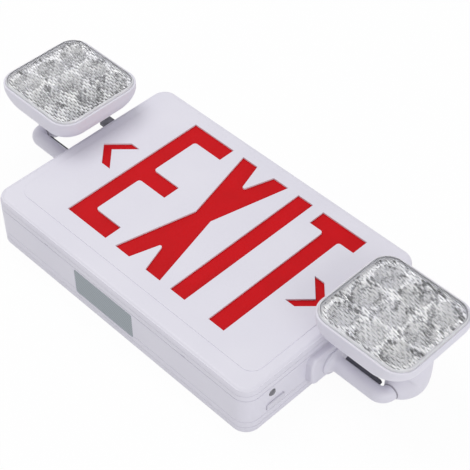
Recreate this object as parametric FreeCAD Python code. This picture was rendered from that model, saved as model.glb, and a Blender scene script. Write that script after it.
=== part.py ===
import FreeCAD, Part
import math
import os

# Emergency exit light: a slim sign housing with two swivelling lamp heads on side arms.
# Frame: the sign lies on its back, +Z out of its face, +Y up the sign, +X along its words.
# Origin: middle of the back plate's rear face.  Units: millimetres.

V = FreeCAD.Vector

# ---------------------------------------------------------------- driving dimensions
# Housing
HOUSING_LENGTH = 312.0
HOUSING_HEIGHT = 204.0
HOUSING_DEPTH = 52.0
HOUSING_CORNER_RADIUS = 14.0
FACE_EDGE_RADIUS = 5.0
WALL = 2.6                      # side walls
FACE_WALL = 1.6                 # face under the raised panel
BACK_FLOOR = 2.8                # floor of the back plate
BACK_RIM_HEIGHT = 6.0           # joint line between back plate and frame
COVER_DEPTH = 12.0              # depth of the front cover's skirt
LIP_THICKNESS = 1.6             # locating lips inside the frame
LIP_OVERLAP = 3.0
LIP_CLEARANCE = 0.2
SEAM_DEPTH = 0.35               # shadow line where two mouldings meet
SEAM_WIDTH = 0.4                # on each moulding
RIB_LINE_SHIFT = 6.2            # second line, this far inside each seam
LABEL_LENGTH = 73.0             # shallow bed for a foil label on the lower side
LABEL_WIDTH = 29.0
LABEL_X = -13.0
LABEL_Z = 23.5
LABEL_DEPTH = 0.25

# Face of the front cover
PANEL_END_MARGIN = 12.0         # face left beside the panel
PANEL_SIDE_MARGIN = 14.0
PANEL_RISE = 4.5                # the panel sits this much above the middle of the face
PANEL_CORNER_RADIUS = 12.0
PANEL_STEP = 0.5                # the panel stands this much above the border
PANEL_EDGE_RADIUS = 0.4
CHEVRON_MARGIN = 8.0            # from the panel's end to an arrow's apex
CHEVRON_Y = 8.4
CHEVRON_HALF_HEIGHT = 17.8
CHEVRON_REACH = 17.6
CHEVRON_STROKE = 10.8
LATCH_FROM_END = 71.0
LATCH_WIDTH = 5.0
LATCH_SLOT_HEIGHT = 1.2
LATCH_HOOK = 1.2

# Fastening to the wall or to a ceiling box
BOX_SCREW_SPACING = 88.9
BOX_SCREW_HOLE_RADIUS = 2.4
WIRE_ENTRY_RADIUS = 11.0
WIRE_ENTRY_COLLAR = 2.0
WIRE_ENTRY_LENGTH = 7.0
KEYHOLE_SPACING = 200.0
KEYHOLE_Y = 45.0
KEYHOLE_HEAD_RADIUS = 5.0
KEYHOLE_SLOT_RADIUS = 2.3
KEYHOLE_DROP = 9.0
KNOCKOUT_RADIUS = 11.0
KNOCKOUT_GROOVE = 0.8

# Screws
SCREW_RADIUS = 1.45
SCREW_HEAD_RADIUS = 2.8
SCREW_HEAD_HEIGHT = 1.8
SCREW_LENGTH = 8.0
SCREW_GAP = 0.05                # pilot hole around a screw shank
BOSS_RADIUS = 3.6
PILLAR_RADIUS = 5.0
PILLAR_INSET = 8.5              # corner pillars, from the inside of the walls

# Light box behind the face
DIFFUSER_END_MARGIN = 15.0      # from the housing's outside
DIFFUSER_SIDE_MARGIN = 16.0
DIFFUSER_THICKNESS = 2.0
DIFFUSER_GAP = 0.1
TRAY_FLOOR_Z = 27.0
TRAY_WALL = 1.6
TRAY_INSET = 3.0                # tray walls, from the diffuser's edge
LED_STRIP_INSET = 13.0          # from the tray's ends
LED_STRIP_WIDTH = 8.0
LED_PITCH = 25.0
LED_RADIUS = 1.5
BOARD_THICKNESS = 1.6
MOUNT_GAP = 0.1                 # between a seated part and its seat

# Charger board, transformer and battery
CHARGER_X = 66.0
CHARGER_Y = 8.0
CHARGER_LENGTH = 96.0
CHARGER_HEIGHT = 66.0
CHARGER_STANDOFF_Z = 9.0
CHARGER_CORNER_RADIUS = 2.0
RELAY_LENGTH = 18.0
RELAY_WIDTH = 14.0
RELAY_HEIGHT = 12.0
RELAY_FROM_END = 18.0
TERMINALS_LENGTH = 40.0
TERMINALS_WIDTH = 9.0
TERMINALS_HEIGHT = 10.0
TERMINALS_FROM_SIDE = 8.0
CAN_RADIUS = 5.0
CAN_HEIGHT = 13.0
CAN_PITCH = 14.0
CHIP_LENGTH = 11.0
CHIP_WIDTH = 7.0
CHIP_HEIGHT = 2.0
CHIP_FROM_SIDE = 9.0
SOLDER_SINK = 0.2               # parts pressed slightly into their board
TRANSFORMER_X = 66.0
TRANSFORMER_FROM_SIDE = 40.0
TRANSFORMER_LENGTH = 42.0
TRANSFORMER_WIDTH = 34.0
TRANSFORMER_HEIGHT = 20.0
BATTERY_X = -78.0
BATTERY_FROM_SIDE = 44.0
CELL_RADIUS = 8.6
CELL_LENGTH = 43.0
CELL_COUNT = 3
CELL_PITCH = 16.8               # the sleeve presses the cells slightly together
CLIP_THICKNESS = 1.2
CLIP_WIDTH = 16.0
CLIP_FOOT = 12.0

# Test button and status lamp in the right end wall
BUTTON_FROM_SIDE = 32.5
BUTTON_Z = 18.5
BUTTON_LENGTH = 20.0
BUTTON_WIDTH = 7.0
BUTTON_CORNER_RADIUS = 2.0
BUTTON_PROUD = 1.5
BUTTON_TRAVEL = 1.3
BUTTON_CLEARANCE = 0.25
BUTTON_FLANGE = 1.4
BUTTON_FLANGE_THICKNESS = 1.2
SWITCH_BODY = 7.0
SWITCH_DEPTH = 4.0
INDICATOR_SHIFT = 3.5           # status lamp below the button
INDICATOR_BELOW_COVER = 7.3     # its middle under the front cover's edge
INDICATOR_RADIUS = 3.5
INDICATOR_PROUD = 1.6
INDICATOR_FLANGE = 0.6
SWITCH_BOARD_INSET = 10.4       # from the end wall's inside
SWITCH_BOARD_LOW_Z = 12.0
SWITCH_BOARD_MARGIN = 0.2       # board beyond its posts
SWITCH_POST_REACH = 12.0        # posts either side of the button
SWITCH_POST_DROP = 1.7          # posts below the status lamp
STATUS_LED_RADIUS = 2.1
STATUS_LED_LENGTH = 6.0

# Arms: a pad on each end wall carries a tube that turns about X and ends in an elbow
ARM_Y = -9.5
ARM_Z = 22.0
ARM_RADIUS = 6.9
ARM_LEAD_HOLE_RADIUS = 3.4
ARM_BEND_RADIUS = 8.2
ARM_REACH = 60.0                # from the end wall to the elbow's axis
ARM_ROOT_RADIUS = 12.6
ARM_ROOT_EDGE = 1.4
JOURNAL_RADIUS = 6.0
JOURNAL_CLEARANCE = 0.05
PAD_LENGTH = 50.0
PAD_HEIGHT = 29.6
PAD_RISE = 1.7                  # middle of the pad above the arm's axis
PAD_DEPTH = 7.0
PAD_CORNER_RADIUS = 7.0
PAD_BEVEL = 2.2
PAD_SCREW_SPACING = 34.0
FACE_GAP = 0.15                 # between faces that slide on each other
ARM_WASHER_RADIUS = 9.4
ARM_WASHER_THICKNESS = 1.0
ARM_NUT_FLATS = 17.0
ARM_NUT_THICKNESS = 5.0
LEAD_COVER_FROM_WALL = 15.0
LEAD_COVER_LENGTH = 35.0
LEAD_COVER_WIDTH = 5.6
LEAD_COVER_PROUD = 3.4
LEAD_COVER_ROOT = 3.0
LEAD_COVER_GAP = 0.1
LEAD_COVER_CROWN = 0.4
LEAD_COVER_TURN = 22.0          # round the arm, from its +Y side; up on the right, down on the left

# Swivel between elbow and lamp neck
SPIGOT_RADIUS = 4.9
SPIGOT_CLEARANCE = 0.06
SPIGOT_LENGTH = 10.5
SWIVEL_RING_RADIUS = 7.1
SWIVEL_RING_THICKNESS = 0.9
PAN_CLIP_RADIUS = 7.2
PAN_CLIP_THICKNESS = 1.2
PAN_CLIP_GROOVE = 0.8
PAN_CLIP_GAP = 0.15

# Lamp heads
LAMP_OUT = 38.5                 # from the end wall to the middle of the head
LAMP_Y = 20.8
LAMP_FRONT_Z = 82.8
LAMP_LENGTH = 98.4
LAMP_HEIGHT = 95.0
LAMP_CORNER_RADIUS = 19.0
LAMP_WALL = 2.2
LAMP_SKIRT = 6.0                # straight part of the side wall
LAMP_DOME = 24.0                # depth of the domed back
DOME_FULLNESS = (1.7, 2.5, 3.0, 2.0)    # its curves' exponents, 2 an ellipse: outer, inner, -Y, +Y
DOME_ROUNDING = 0.6             # its corners open up this much towards the middle
LAMP_RIM = 1.8
LENS_THICKNESS = 2.6
LENS_PROUD = 2.0                # lens above the rim
LENS_SEAT_DEPTH = 3.2           # from the rim down to the lens's seat
LENS_SIDE_WALL = 2.2
LENS_EDGE_RADIUS = 1.4
LENS_CLEARANCE = 0.15
SEAT_LEDGE = 2.0
CUP_COUNT = 3
CUP_PITCH = 27.0
CUP_MOUTH_RADIUS = 12.6
CUP_BASE_RADIUS = 4.2
CUP_DEPTH = 12.0
CUP_WALL = 0.9
REFLECTOR_PLATE = 1.2
LAMP_BOARD_SIZE = 66.0
LAMP_LED_SIZE = 3.2
LAMP_LED_HEIGHT = 0.9
LAMP_SCREW_LENGTH = 4.4
LAMP_SCREW_HEAD = 0.9
NECK_FLOOR = 4.6
NECK_BRIDGE = 20.0              # solid neck wall above the arm's axis, beside the floor
NECK_WALL = 2.4
NECK_REACH = 21.0               # from the swivel joint to the middle of the neck's column
NECK_RADIUS = 18.5

# Plain tab through each end wall, behind the lamp head
TAB_Y = 46.6
TAB_Z = 27.0
TAB_WIDTH = 12.5
TAB_THICKNESS = 3.0
TAB_LENGTH = 26.0
TAB_FLANGE = 2.5
TAB_CLEARANCE = 0.1

# ---------------------------------------------------------------- derived places
END_X = HOUSING_LENGTH / 2.0
SIDE_Y = HOUSING_HEIGHT / 2.0
INNER_END_X = END_X - WALL
INNER_SIDE_Y = SIDE_Y - WALL
PANEL_LENGTH = HOUSING_LENGTH - 2.0 * PANEL_END_MARGIN
PANEL_HEIGHT = HOUSING_HEIGHT - 2.0 * PANEL_SIDE_MARGIN
CHEVRON_APEX_X = PANEL_LENGTH / 2.0 - CHEVRON_MARGIN
LATCH_X = END_X - LATCH_FROM_END
TRANSFORMER_Y = TRANSFORMER_FROM_SIDE - SIDE_Y
BATTERY_Y = BATTERY_FROM_SIDE - SIDE_Y
BUTTON_Y = BUTTON_FROM_SIDE - SIDE_Y
INDICATOR_Y = BUTTON_Y - INDICATOR_SHIFT
SWITCH_BOARD_X = INNER_END_X - SWITCH_BOARD_INSET
ELBOW_X = END_X + ARM_REACH
LEAD_COVER_START = END_X + LEAD_COVER_FROM_WALL
LAMP_X = END_X + LAMP_OUT
DIFFUSER_LENGTH = HOUSING_LENGTH - 2.0 * DIFFUSER_END_MARGIN
DIFFUSER_HEIGHT = HOUSING_HEIGHT - 2.0 * DIFFUSER_SIDE_MARGIN
COVER_Z = HOUSING_DEPTH - COVER_DEPTH
INDICATOR_Z = COVER_Z - INDICATOR_BELOW_COVER
FACE_INSIDE_Z = HOUSING_DEPTH - FACE_WALL
BORDER_Z = HOUSING_DEPTH - PANEL_STEP
PILLAR_X = INNER_END_X - PILLAR_INSET
PILLAR_Y = INNER_SIDE_Y - PILLAR_INSET
PAD_FACE_X = END_X + PAD_DEPTH
ARM_START_X = PAD_FACE_X + FACE_GAP
WASHER_X = INNER_END_X - FACE_GAP - ARM_WASHER_THICKNESS
NUT_X = WASHER_X - ARM_NUT_THICKNESS
BEND_X = ELBOW_X - ARM_BEND_RADIUS
ELBOW_TOP_Y = ARM_Y + ARM_BEND_RADIUS
NECK_START_Y = ELBOW_TOP_Y + SWIVEL_RING_THICKNESS + 2.0 * PAN_CLIP_GAP
DOME_START_Z = LAMP_FRONT_Z - LAMP_SKIRT
LENS_FRONT_Z = LAMP_FRONT_Z + LENS_PROUD
LENS_BACK_Z = LAMP_FRONT_Z - LENS_SEAT_DEPTH
CUP_TOP_Z = LENS_BACK_Z - MOUNT_GAP
CUP_BOTTOM_Z = CUP_TOP_Z - CUP_DEPTH
LAMP_BOARD_Z = CUP_BOTTOM_Z - MOUNT_GAP - BOARD_THICKNESS
DIFFUSER_Z = FACE_INSIDE_Z - DIFFUSER_GAP - DIFFUSER_THICKNESS
TRAY_LENGTH = DIFFUSER_LENGTH - 2.0 * TRAY_INSET
TRAY_HEIGHT = DIFFUSER_HEIGHT - 2.0 * TRAY_INSET
TRAY_TOP_Z = DIFFUSER_Z - MOUNT_GAP
LED_STRIP_LENGTH = TRAY_LENGTH - 2.0 * LED_STRIP_INSET
LED_COUNT = int(LED_STRIP_LENGTH / LED_PITCH)


# ---------------------------------------------------------------- shape helpers
def rounded_outline(length, height, radius, x=0.0, y=0.0, z=0.0):
    """A closed wire: a rectangle with round corners, lying in a plane of constant Z."""
    a = length / 2.0
    b = height / 2.0
    r = min(radius, 0.98 * a, 0.98 * b)
    k = r * (1.0 - math.sqrt(0.5))
    corners = [(a, b, 1, 1), (-a, b, -1, 1), (-a, -b, -1, -1), (a, -b, 1, -1)]
    edges = []
    ends = []
    for cx, cy, sx, sy in corners:
        on_side = V(x + cx, y + cy - sy * r, z)
        middle = V(x + cx - sx * k, y + cy - sy * k, z)
        on_end = V(x + cx - sx * r, y + cy, z)
        first, last = (on_side, on_end) if sx * sy > 0 else (on_end, on_side)
        ends.append((first, middle, last))
    for index, (first, middle, last) in enumerate(ends):
        following = ends[(index + 1) % 4][0]
        edges.append(Part.Arc(first, middle, last).toShape())
        edges.append(Part.LineSegment(last, following).toShape())
    return Part.Wire(edges)


def rounded_block(length, height, radius, z_low, z_high, x=0.0, y=0.0):
    """A rounded rectangle raised from z_low to z_high."""
    face = Part.Face(rounded_outline(length, height, radius, x, y, z_low))
    return face.extrude(V(0, 0, z_high - z_low))


def cylinder(radius, start, direction, length):
    """A solid cylinder from a start point along a direction."""
    return Part.makeCylinder(radius, length, start, direction)


def tube(outer_radius, inner_radius, start, direction, length):
    """A ring or sleeve."""
    return cylinder(outer_radius, start, direction, length).cut(
        cylinder(inner_radius, start, direction, length)
    )


def box(x_low, x_high, y_low, y_high, z_low, z_high):
    """A block between two corners."""
    return Part.makeBox(x_high - x_low, y_high - y_low, z_high - z_low, V(x_low, y_low, z_low))


def end_block(length, height, radius, x_low, x_high, y, z):
    """A rounded rectangle on an end wall: length along Y, height along Z, raised along X."""
    block = rounded_block(length, height, radius, 0.0, x_high - x_low)
    turn_x_to_y_to_z = FreeCAD.Rotation(V(1, 1, 1), 120.0)
    block.Placement = FreeCAD.Placement(V(x_low, y, z), turn_x_to_y_to_z)
    return block


def turned(profile, axis_point, axis, angle=360.0):
    """Revolve a closed list of points and arcs about an axis."""
    return Part.Face(Part.Wire(profile)).revolve(axis_point, axis, angle)


def line(start, end):
    """A straight edge."""
    return Part.LineSegment(start, end).toShape()


def fused(shapes):
    """One clean solid from several touching shapes."""
    result = shapes[0].multiFuse(shapes[1:]) if len(shapes) > 1 else shapes[0]
    return result.removeSplitter()


def screw(head_at, direction):
    """A pan-head screw: head_at is the middle of the head's underside, shank along direction."""
    shank = cylinder(SCREW_RADIUS, head_at, direction, SCREW_LENGTH)
    head = cylinder(SCREW_HEAD_RADIUS, head_at, -direction, SCREW_HEAD_HEIGHT)
    slot = cylinder(SCREW_HEAD_RADIUS / 2.0, head_at - direction * SCREW_HEAD_HEIGHT,
                    direction, SCREW_HEAD_HEIGHT / 2.0)
    return shank.fuse(head).cut(slot)


def pilot_hole(head_at, direction):
    """The hole that a screw's shank goes into."""
    return cylinder(SCREW_RADIUS + SCREW_GAP, head_at - direction * MOUNT_GAP,
                    direction, SCREW_LENGTH + SCREW_RADIUS)


def mirrored(shape):
    """The left-hand twin of a right-hand piece."""
    return shape.mirror(V(0, 0, 0), V(1, 0, 0))


def flipped(shape):
    """The same moulding on the left: turned over about a line along Y at the arm's height."""
    turned_shape = shape.copy()
    turned_shape.rotate(V(0, 0, ARM_Z), V(0, 1, 0), 180.0)
    return turned_shape


# ---------------------------------------------------------------- housing
def seam_line(z_low, z_high):
    """A shallow line all round the housing's walls."""
    outside = rounded_block(HOUSING_LENGTH + 2.0, HOUSING_HEIGHT + 2.0,
                            HOUSING_CORNER_RADIUS + 1.0, z_low, z_high)
    inside = rounded_block(HOUSING_LENGTH - 2.0 * SEAM_DEPTH, HOUSING_HEIGHT - 2.0 * SEAM_DEPTH,
                           HOUSING_CORNER_RADIUS - SEAM_DEPTH, z_low, z_high)
    return outside.cut(inside)


def pillar_places():
    """Middles of the four corner pillars."""
    return [V(sx * PILLAR_X, sy * PILLAR_Y, 0) for sx in (-1, 1) for sy in (-1, 1)]


def charger_places():
    """Middles of the charger board's four standoffs."""
    dx = CHARGER_LENGTH / 2.0 - BOSS_RADIUS - 1.0
    dy = CHARGER_HEIGHT / 2.0 - BOSS_RADIUS - 1.0
    return [V(CHARGER_X + sx * dx, CHARGER_Y + sy * dy, CHARGER_STANDOFF_Z)
            for sx in (-1, 1) for sy in (-1, 1)]


def transformer_places():
    """Middles of the transformer's two feet."""
    reach = TRANSFORMER_LENGTH / 2.0 + BOSS_RADIUS + 1.0
    z = BACK_FLOOR + SCREW_LENGTH
    return [V(TRANSFORMER_X + side * reach, TRANSFORMER_Y, z) for side in (-1, 1)]


def battery_half_width():
    """Half the width of the row of cells."""
    return (CELL_COUNT - 1) / 2.0 * CELL_PITCH + CELL_RADIUS


def clip_places():
    """Middles of the battery clip's two feet."""
    reach = battery_half_width() + CLIP_THICKNESS + MOUNT_GAP + CLIP_FOOT / 2.0
    z = BACK_FLOOR + SCREW_LENGTH
    return [V(BATTERY_X, BATTERY_Y + side * reach, z) for side in (-1, 1)]


def tray_places():
    """Middles of the light tray's four posts."""
    dx = TRAY_LENGTH / 2.0 - 3.0 * BOSS_RADIUS
    dy = TRAY_HEIGHT / 2.0 - 3.0 * BOSS_RADIUS
    return [V(sx * dx, sy * dy, TRAY_FLOOR_Z - MOUNT_GAP) for sx in (-1, 1) for sy in (-1, 1)]


def keyhole(x):
    """Keyhole slot through the back plate, narrow end up."""
    deep = BACK_FLOOR + LIP_OVERLAP
    low = V(x, KEYHOLE_Y, -MOUNT_GAP)
    up = V(0, 0, 1)
    head = cylinder(KEYHOLE_HEAD_RADIUS, low, up, deep)
    top = cylinder(KEYHOLE_SLOT_RADIUS, low + V(0, KEYHOLE_DROP, 0), up, deep)
    slot = box(x - KEYHOLE_SLOT_RADIUS, x + KEYHOLE_SLOT_RADIUS, KEYHOLE_Y,
               KEYHOLE_Y + KEYHOLE_DROP, -MOUNT_GAP, deep - MOUNT_GAP)
    return fused([head, slot, top])


def back_plate():
    """Rear tray with its locating lip, standoffs, wall slots, wire entry and box screw holes."""
    lip_inset = 2.0 * (WALL + LIP_CLEARANCE)
    pocket_inset = lip_inset + 2.0 * LIP_THICKNESS
    rim = rounded_block(HOUSING_LENGTH, HOUSING_HEIGHT, HOUSING_CORNER_RADIUS, 0.0, BACK_RIM_HEIGHT)
    lip = rounded_block(HOUSING_LENGTH - lip_inset, HOUSING_HEIGHT - lip_inset,
                        HOUSING_CORNER_RADIUS - WALL - LIP_CLEARANCE,
                        BACK_FLOOR, BACK_RIM_HEIGHT + LIP_OVERLAP)
    pocket = rounded_block(HOUSING_LENGTH - pocket_inset, HOUSING_HEIGHT - pocket_inset,
                           HOUSING_CORNER_RADIUS - WALL - LIP_CLEARANCE - LIP_THICKNESS,
                           BACK_FLOOR, HOUSING_DEPTH)
    tray = fused([rim, lip]).cut(pocket)
    up = V(0, 0, 1)
    places = charger_places() + transformer_places() + clip_places() + tray_places()
    posts = [cylinder(BOSS_RADIUS, V(p.x, p.y, BACK_FLOOR / 2.0), up, p.z - BACK_FLOOR / 2.0)
             for p in places]
    collar = cylinder(WIRE_ENTRY_RADIUS + WIRE_ENTRY_COLLAR, V(0, 0, 0), up, WIRE_ENTRY_LENGTH)
    seats = [cylinder(PILLAR_RADIUS, p, up, BACK_RIM_HEIGHT + LIP_OVERLAP) for p in pillar_places()]
    plate = fused([tray, collar] + posts + seats)
    holes = [pilot_hole(p + V(0, 0, BOARD_THICKNESS), -up) for p in places]
    holes += [cylinder(WIRE_ENTRY_RADIUS, V(0, 0, -1), up, WIRE_ENTRY_LENGTH + 2.0)]
    holes += [cylinder(BOX_SCREW_HOLE_RADIUS, V(side * BOX_SCREW_SPACING / 2.0, 0, -1), up,
                       BACK_FLOOR + 2.0) for side in (-1, 1)]
    holes += [keyhole(side * KEYHOLE_SPACING / 2.0) for side in (-1, 1)]
    holes += [tube(KNOCKOUT_RADIUS, KNOCKOUT_RADIUS - KNOCKOUT_GROOVE, V(0, side * SIDE_Y / 2.0, 0),
                   up, KNOCKOUT_GROOVE) for side in (-1, 1)]
    holes.append(seam_line(BACK_RIM_HEIGHT - SEAM_WIDTH, BACK_RIM_HEIGHT))
    for p in pillar_places():
        holes.append(cylinder(SCREW_HEAD_RADIUS + MOUNT_GAP, p, up, BACK_RIM_HEIGHT))
        holes.append(cylinder(SCREW_RADIUS + SCREW_GAP, p, up, HOUSING_DEPTH))
    return plate.cut(Part.makeCompound(holes))


def plate_screws():
    """Four screws from the back plate into the frame's pillars."""
    up = V(0, 0, 1)
    return [screw(p + V(0, 0, BACK_RIM_HEIGHT - MOUNT_GAP), up) for p in pillar_places()]


def housing_frame():
    """The four side walls, with corner pillars and the openings in the end walls."""
    outer = rounded_block(HOUSING_LENGTH, HOUSING_HEIGHT, HOUSING_CORNER_RADIUS,
                          BACK_RIM_HEIGHT, COVER_Z)
    inner = rounded_block(HOUSING_LENGTH - 2.0 * WALL, HOUSING_HEIGHT - 2.0 * WALL,
                          HOUSING_CORNER_RADIUS - WALL, 0.0, HOUSING_DEPTH)
    ring = outer.cut(inner)
    low = BACK_RIM_HEIGHT + LIP_OVERLAP + MOUNT_GAP
    high = COVER_Z - LIP_OVERLAP - MOUNT_GAP
    solids = [ring]
    for p in pillar_places():
        sx = math.copysign(1.0, p.x)
        sy = math.copysign(1.0, p.y)
        solids.append(cylinder(PILLAR_RADIUS, V(p.x, p.y, low), V(0, 0, 1), high - low))
        x_low, x_high = sorted((p.x, sx * (INNER_END_X + WALL / 2.0)))
        y_low, y_high = sorted((p.y, sy * (INNER_SIDE_Y + WALL / 2.0)))
        solids.append(box(x_low, x_high, p.y - WALL / 2.0, p.y + WALL / 2.0, low, high))
        solids.append(box(p.x - WALL / 2.0, p.x + WALL / 2.0, y_low, y_high, low, high))
    for y, z in switch_board_posts():
        solids.append(cylinder(BOSS_RADIUS, V(SWITCH_BOARD_X + MOUNT_GAP, y, z), V(1, 0, 0),
                               INNER_END_X + WALL / 2.0 - SWITCH_BOARD_X - MOUNT_GAP))
    frame = fused(solids)
    holes = [pilot_hole(p + V(0, 0, BACK_RIM_HEIGHT), V(0, 0, 1)) for p in pillar_places()]
    holes += end_wall_openings() + [mirrored(s) for s in arm_openings()]
    holes += [pilot_hole(V(SWITCH_BOARD_X - BOARD_THICKNESS, y, z), V(1, 0, 0))
              for y, z in switch_board_posts()]
    line_z = BACK_RIM_HEIGHT + RIB_LINE_SHIFT
    seams = [seam_line(COVER_Z - SEAM_WIDTH, COVER_Z), seam_line(line_z, line_z + SEAM_WIDTH)]
    low_y = -HOUSING_HEIGHT / 2.0
    label_bed = box(LABEL_X - LABEL_LENGTH / 2.0, LABEL_X + LABEL_LENGTH / 2.0,
                    low_y - 1.0, low_y + LABEL_DEPTH,
                    LABEL_Z - LABEL_WIDTH / 2.0, LABEL_Z + LABEL_WIDTH / 2.0)
    frame = frame.cut(Part.makeCompound(holes)).cut(Part.makeCompound(seams))
    return frame.cut(label_bed)


def arm_openings():
    """Holes in the right end wall for the arm's journal, the pad's screws and the side tab."""
    inward = INNER_END_X - WALL
    holes = [cylinder(JOURNAL_RADIUS + LIP_CLEARANCE, V(inward, ARM_Y, ARM_Z), V(1, 0, 0),
                      3.0 * WALL)]
    holes += [cylinder(SCREW_RADIUS + SCREW_GAP, V(inward, y, ARM_Z), V(1, 0, 0), 3.0 * WALL)
              for y in pad_screw_ys()]
    holes.append(box(inward, inward + 3.0 * WALL,
                     TAB_Y - TAB_WIDTH / 2.0 - TAB_CLEARANCE,
                     TAB_Y + TAB_WIDTH / 2.0 + TAB_CLEARANCE,
                     TAB_Z - TAB_THICKNESS / 2.0 - TAB_CLEARANCE,
                     TAB_Z + TAB_THICKNESS / 2.0 + TAB_CLEARANCE))
    return holes


def end_wall_openings():
    """Everything that is cut through the right end wall."""
    inward = INNER_END_X - WALL
    slot = end_block(BUTTON_LENGTH + 2.0 * BUTTON_CLEARANCE, BUTTON_WIDTH + 2.0 * BUTTON_CLEARANCE,
                     BUTTON_CORNER_RADIUS + BUTTON_CLEARANCE, inward, inward + 3.0 * WALL,
                     BUTTON_Y, BUTTON_Z)
    lamp = cylinder(INDICATOR_RADIUS + MOUNT_GAP, V(inward, INDICATOR_Y, INDICATOR_Z),
                    V(1, 0, 0), 3.0 * WALL)
    return [slot, lamp] + arm_openings()


def chevron(side):
    """Outline of one direction arrow, pointing to the given side."""
    apex = side * CHEVRON_APEX_X
    tip = apex - side * CHEVRON_REACH
    stroke = -side * CHEVRON_STROKE
    corners = [
        (apex, CHEVRON_Y), (tip, CHEVRON_Y + CHEVRON_HALF_HEIGHT),
        (tip + stroke, CHEVRON_Y + CHEVRON_HALF_HEIGHT), (apex + stroke, CHEVRON_Y),
        (tip + stroke, CHEVRON_Y - CHEVRON_HALF_HEIGHT), (tip, CHEVRON_Y - CHEVRON_HALF_HEIGHT),
    ]
    points = [V(x, y, FACE_INSIDE_Z - 1.0) for x, y in corners]
    face = Part.Face(Part.makePolygon(points + points[:1]))
    return face.extrude(V(0, 0, WALL + 2.0))


def front_cover():
    """Face and skirt, with the stepped panel, arrow cut-outs, locating lip and snap hooks."""
    block = rounded_block(HOUSING_LENGTH, HOUSING_HEIGHT, HOUSING_CORNER_RADIUS,
                          COVER_Z, BORDER_Z)
    front_edges = [e for e in block.Edges if e.BoundBox.ZMin > BORDER_Z - 0.01]
    block = block.makeFillet(FACE_EDGE_RADIUS, front_edges)
    panel = rounded_block(PANEL_LENGTH, PANEL_HEIGHT, PANEL_CORNER_RADIUS,
                          FACE_INSIDE_Z, HOUSING_DEPTH, 0.0, PANEL_RISE)
    panel_edges = [e for e in panel.Edges if e.BoundBox.ZMin > HOUSING_DEPTH - 0.01]
    panel = panel.makeFillet(PANEL_EDGE_RADIUS, panel_edges)
    pocket = rounded_block(HOUSING_LENGTH - 2.0 * WALL, HOUSING_HEIGHT - 2.0 * WALL,
                           HOUSING_CORNER_RADIUS - WALL, 0.0, FACE_INSIDE_Z)
    lip_inset = 2.0 * (WALL + LIP_CLEARANCE)
    pocket_inset = lip_inset + 2.0 * LIP_THICKNESS
    lip = rounded_block(HOUSING_LENGTH - lip_inset, HOUSING_HEIGHT - lip_inset,
                        HOUSING_CORNER_RADIUS - WALL - LIP_CLEARANCE,
                        COVER_Z - LIP_OVERLAP, FACE_INSIDE_Z)
    lip = lip.cut(rounded_block(HOUSING_LENGTH - pocket_inset, HOUSING_HEIGHT - pocket_inset,
                                HOUSING_CORNER_RADIUS - WALL - LIP_CLEARANCE - LIP_THICKNESS,
                                0.0, FACE_INSIDE_Z))
    bridge = rounded_block(HOUSING_LENGTH - WALL, HOUSING_HEIGHT - WALL,
                           HOUSING_CORNER_RADIUS - WALL / 2.0, COVER_Z, FACE_INSIDE_Z)
    bridge = bridge.cut(rounded_block(HOUSING_LENGTH - pocket_inset, HOUSING_HEIGHT - pocket_inset,
                                      HOUSING_CORNER_RADIUS - WALL - LIP_CLEARANCE - LIP_THICKNESS,
                                      0.0, FACE_INSIDE_Z))
    cover = fused([block.cut(pocket), panel, lip, bridge] + cover_hooks())
    line_z = COVER_Z + RIB_LINE_SHIFT - SEAM_WIDTH
    seams = [seam_line(COVER_Z, COVER_Z + SEAM_WIDTH), seam_line(line_z, line_z + SEAM_WIDTH)]
    cuts = [chevron(side) for side in (-1, 1)] + latch_slots()
    return cover.cut(Part.makeCompound(cuts)).cut(Part.makeCompound(seams))


def latch_places():
    """Places of the snap hooks along the two long sides."""
    return [(sx * LATCH_X, sy) for sx in (-1, 1) for sy in (-1, 1)]


def cover_hooks():
    """Snap hooks at the end of the cover's lip; they grip under small ribs of their own lip."""
    hooks = []
    for x, sy in latch_places():
        inner = INNER_SIDE_Y - LIP_CLEARANCE - LIP_THICKNESS
        y_low, y_high = sorted((sy * inner, sy * (inner - LATCH_HOOK)))
        hooks.append(box(x - LATCH_WIDTH / 2.0, x + LATCH_WIDTH / 2.0, y_low, y_high,
                         COVER_Z - LIP_OVERLAP, COVER_Z))
    return hooks


def latch_slots():
    """Release slots for a screwdriver, in the skirt beside each hook."""
    slots = []
    for x, sy in latch_places():
        y_low, y_high = sorted((sy * (SIDE_Y - LATCH_HOOK), sy * (SIDE_Y + LATCH_HOOK)))
        slots.append(box(x - LATCH_WIDTH / 2.0, x + LATCH_WIDTH / 2.0, y_low, y_high,
                         COVER_Z, COVER_Z + LATCH_SLOT_HEIGHT))
    return slots


# ---------------------------------------------------------------- light box
def red_diffuser():
    """Translucent panel close behind the face."""
    return rounded_block(DIFFUSER_LENGTH, DIFFUSER_HEIGHT, PANEL_CORNER_RADIUS,
                         DIFFUSER_Z, DIFFUSER_Z + DIFFUSER_THICKNESS, 0.0, 0.0)


def light_tray():
    """White tray that spreads the light of the two LED strips."""
    outer = rounded_block(TRAY_LENGTH, TRAY_HEIGHT, PANEL_CORNER_RADIUS - TRAY_INSET,
                          TRAY_FLOOR_Z, TRAY_TOP_Z)
    pocket = rounded_block(TRAY_LENGTH - 2.0 * TRAY_WALL, TRAY_HEIGHT - 2.0 * TRAY_WALL,
                           PANEL_CORNER_RADIUS - TRAY_INSET - TRAY_WALL,
                           TRAY_FLOOR_Z + TRAY_WALL, HOUSING_DEPTH)
    holes = [cylinder(SCREW_RADIUS + SCREW_GAP, V(p.x, p.y, 0), V(0, 0, 1), HOUSING_DEPTH)
             for p in tray_places()]
    return outer.cut(pocket).cut(Part.makeCompound(holes))


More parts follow.
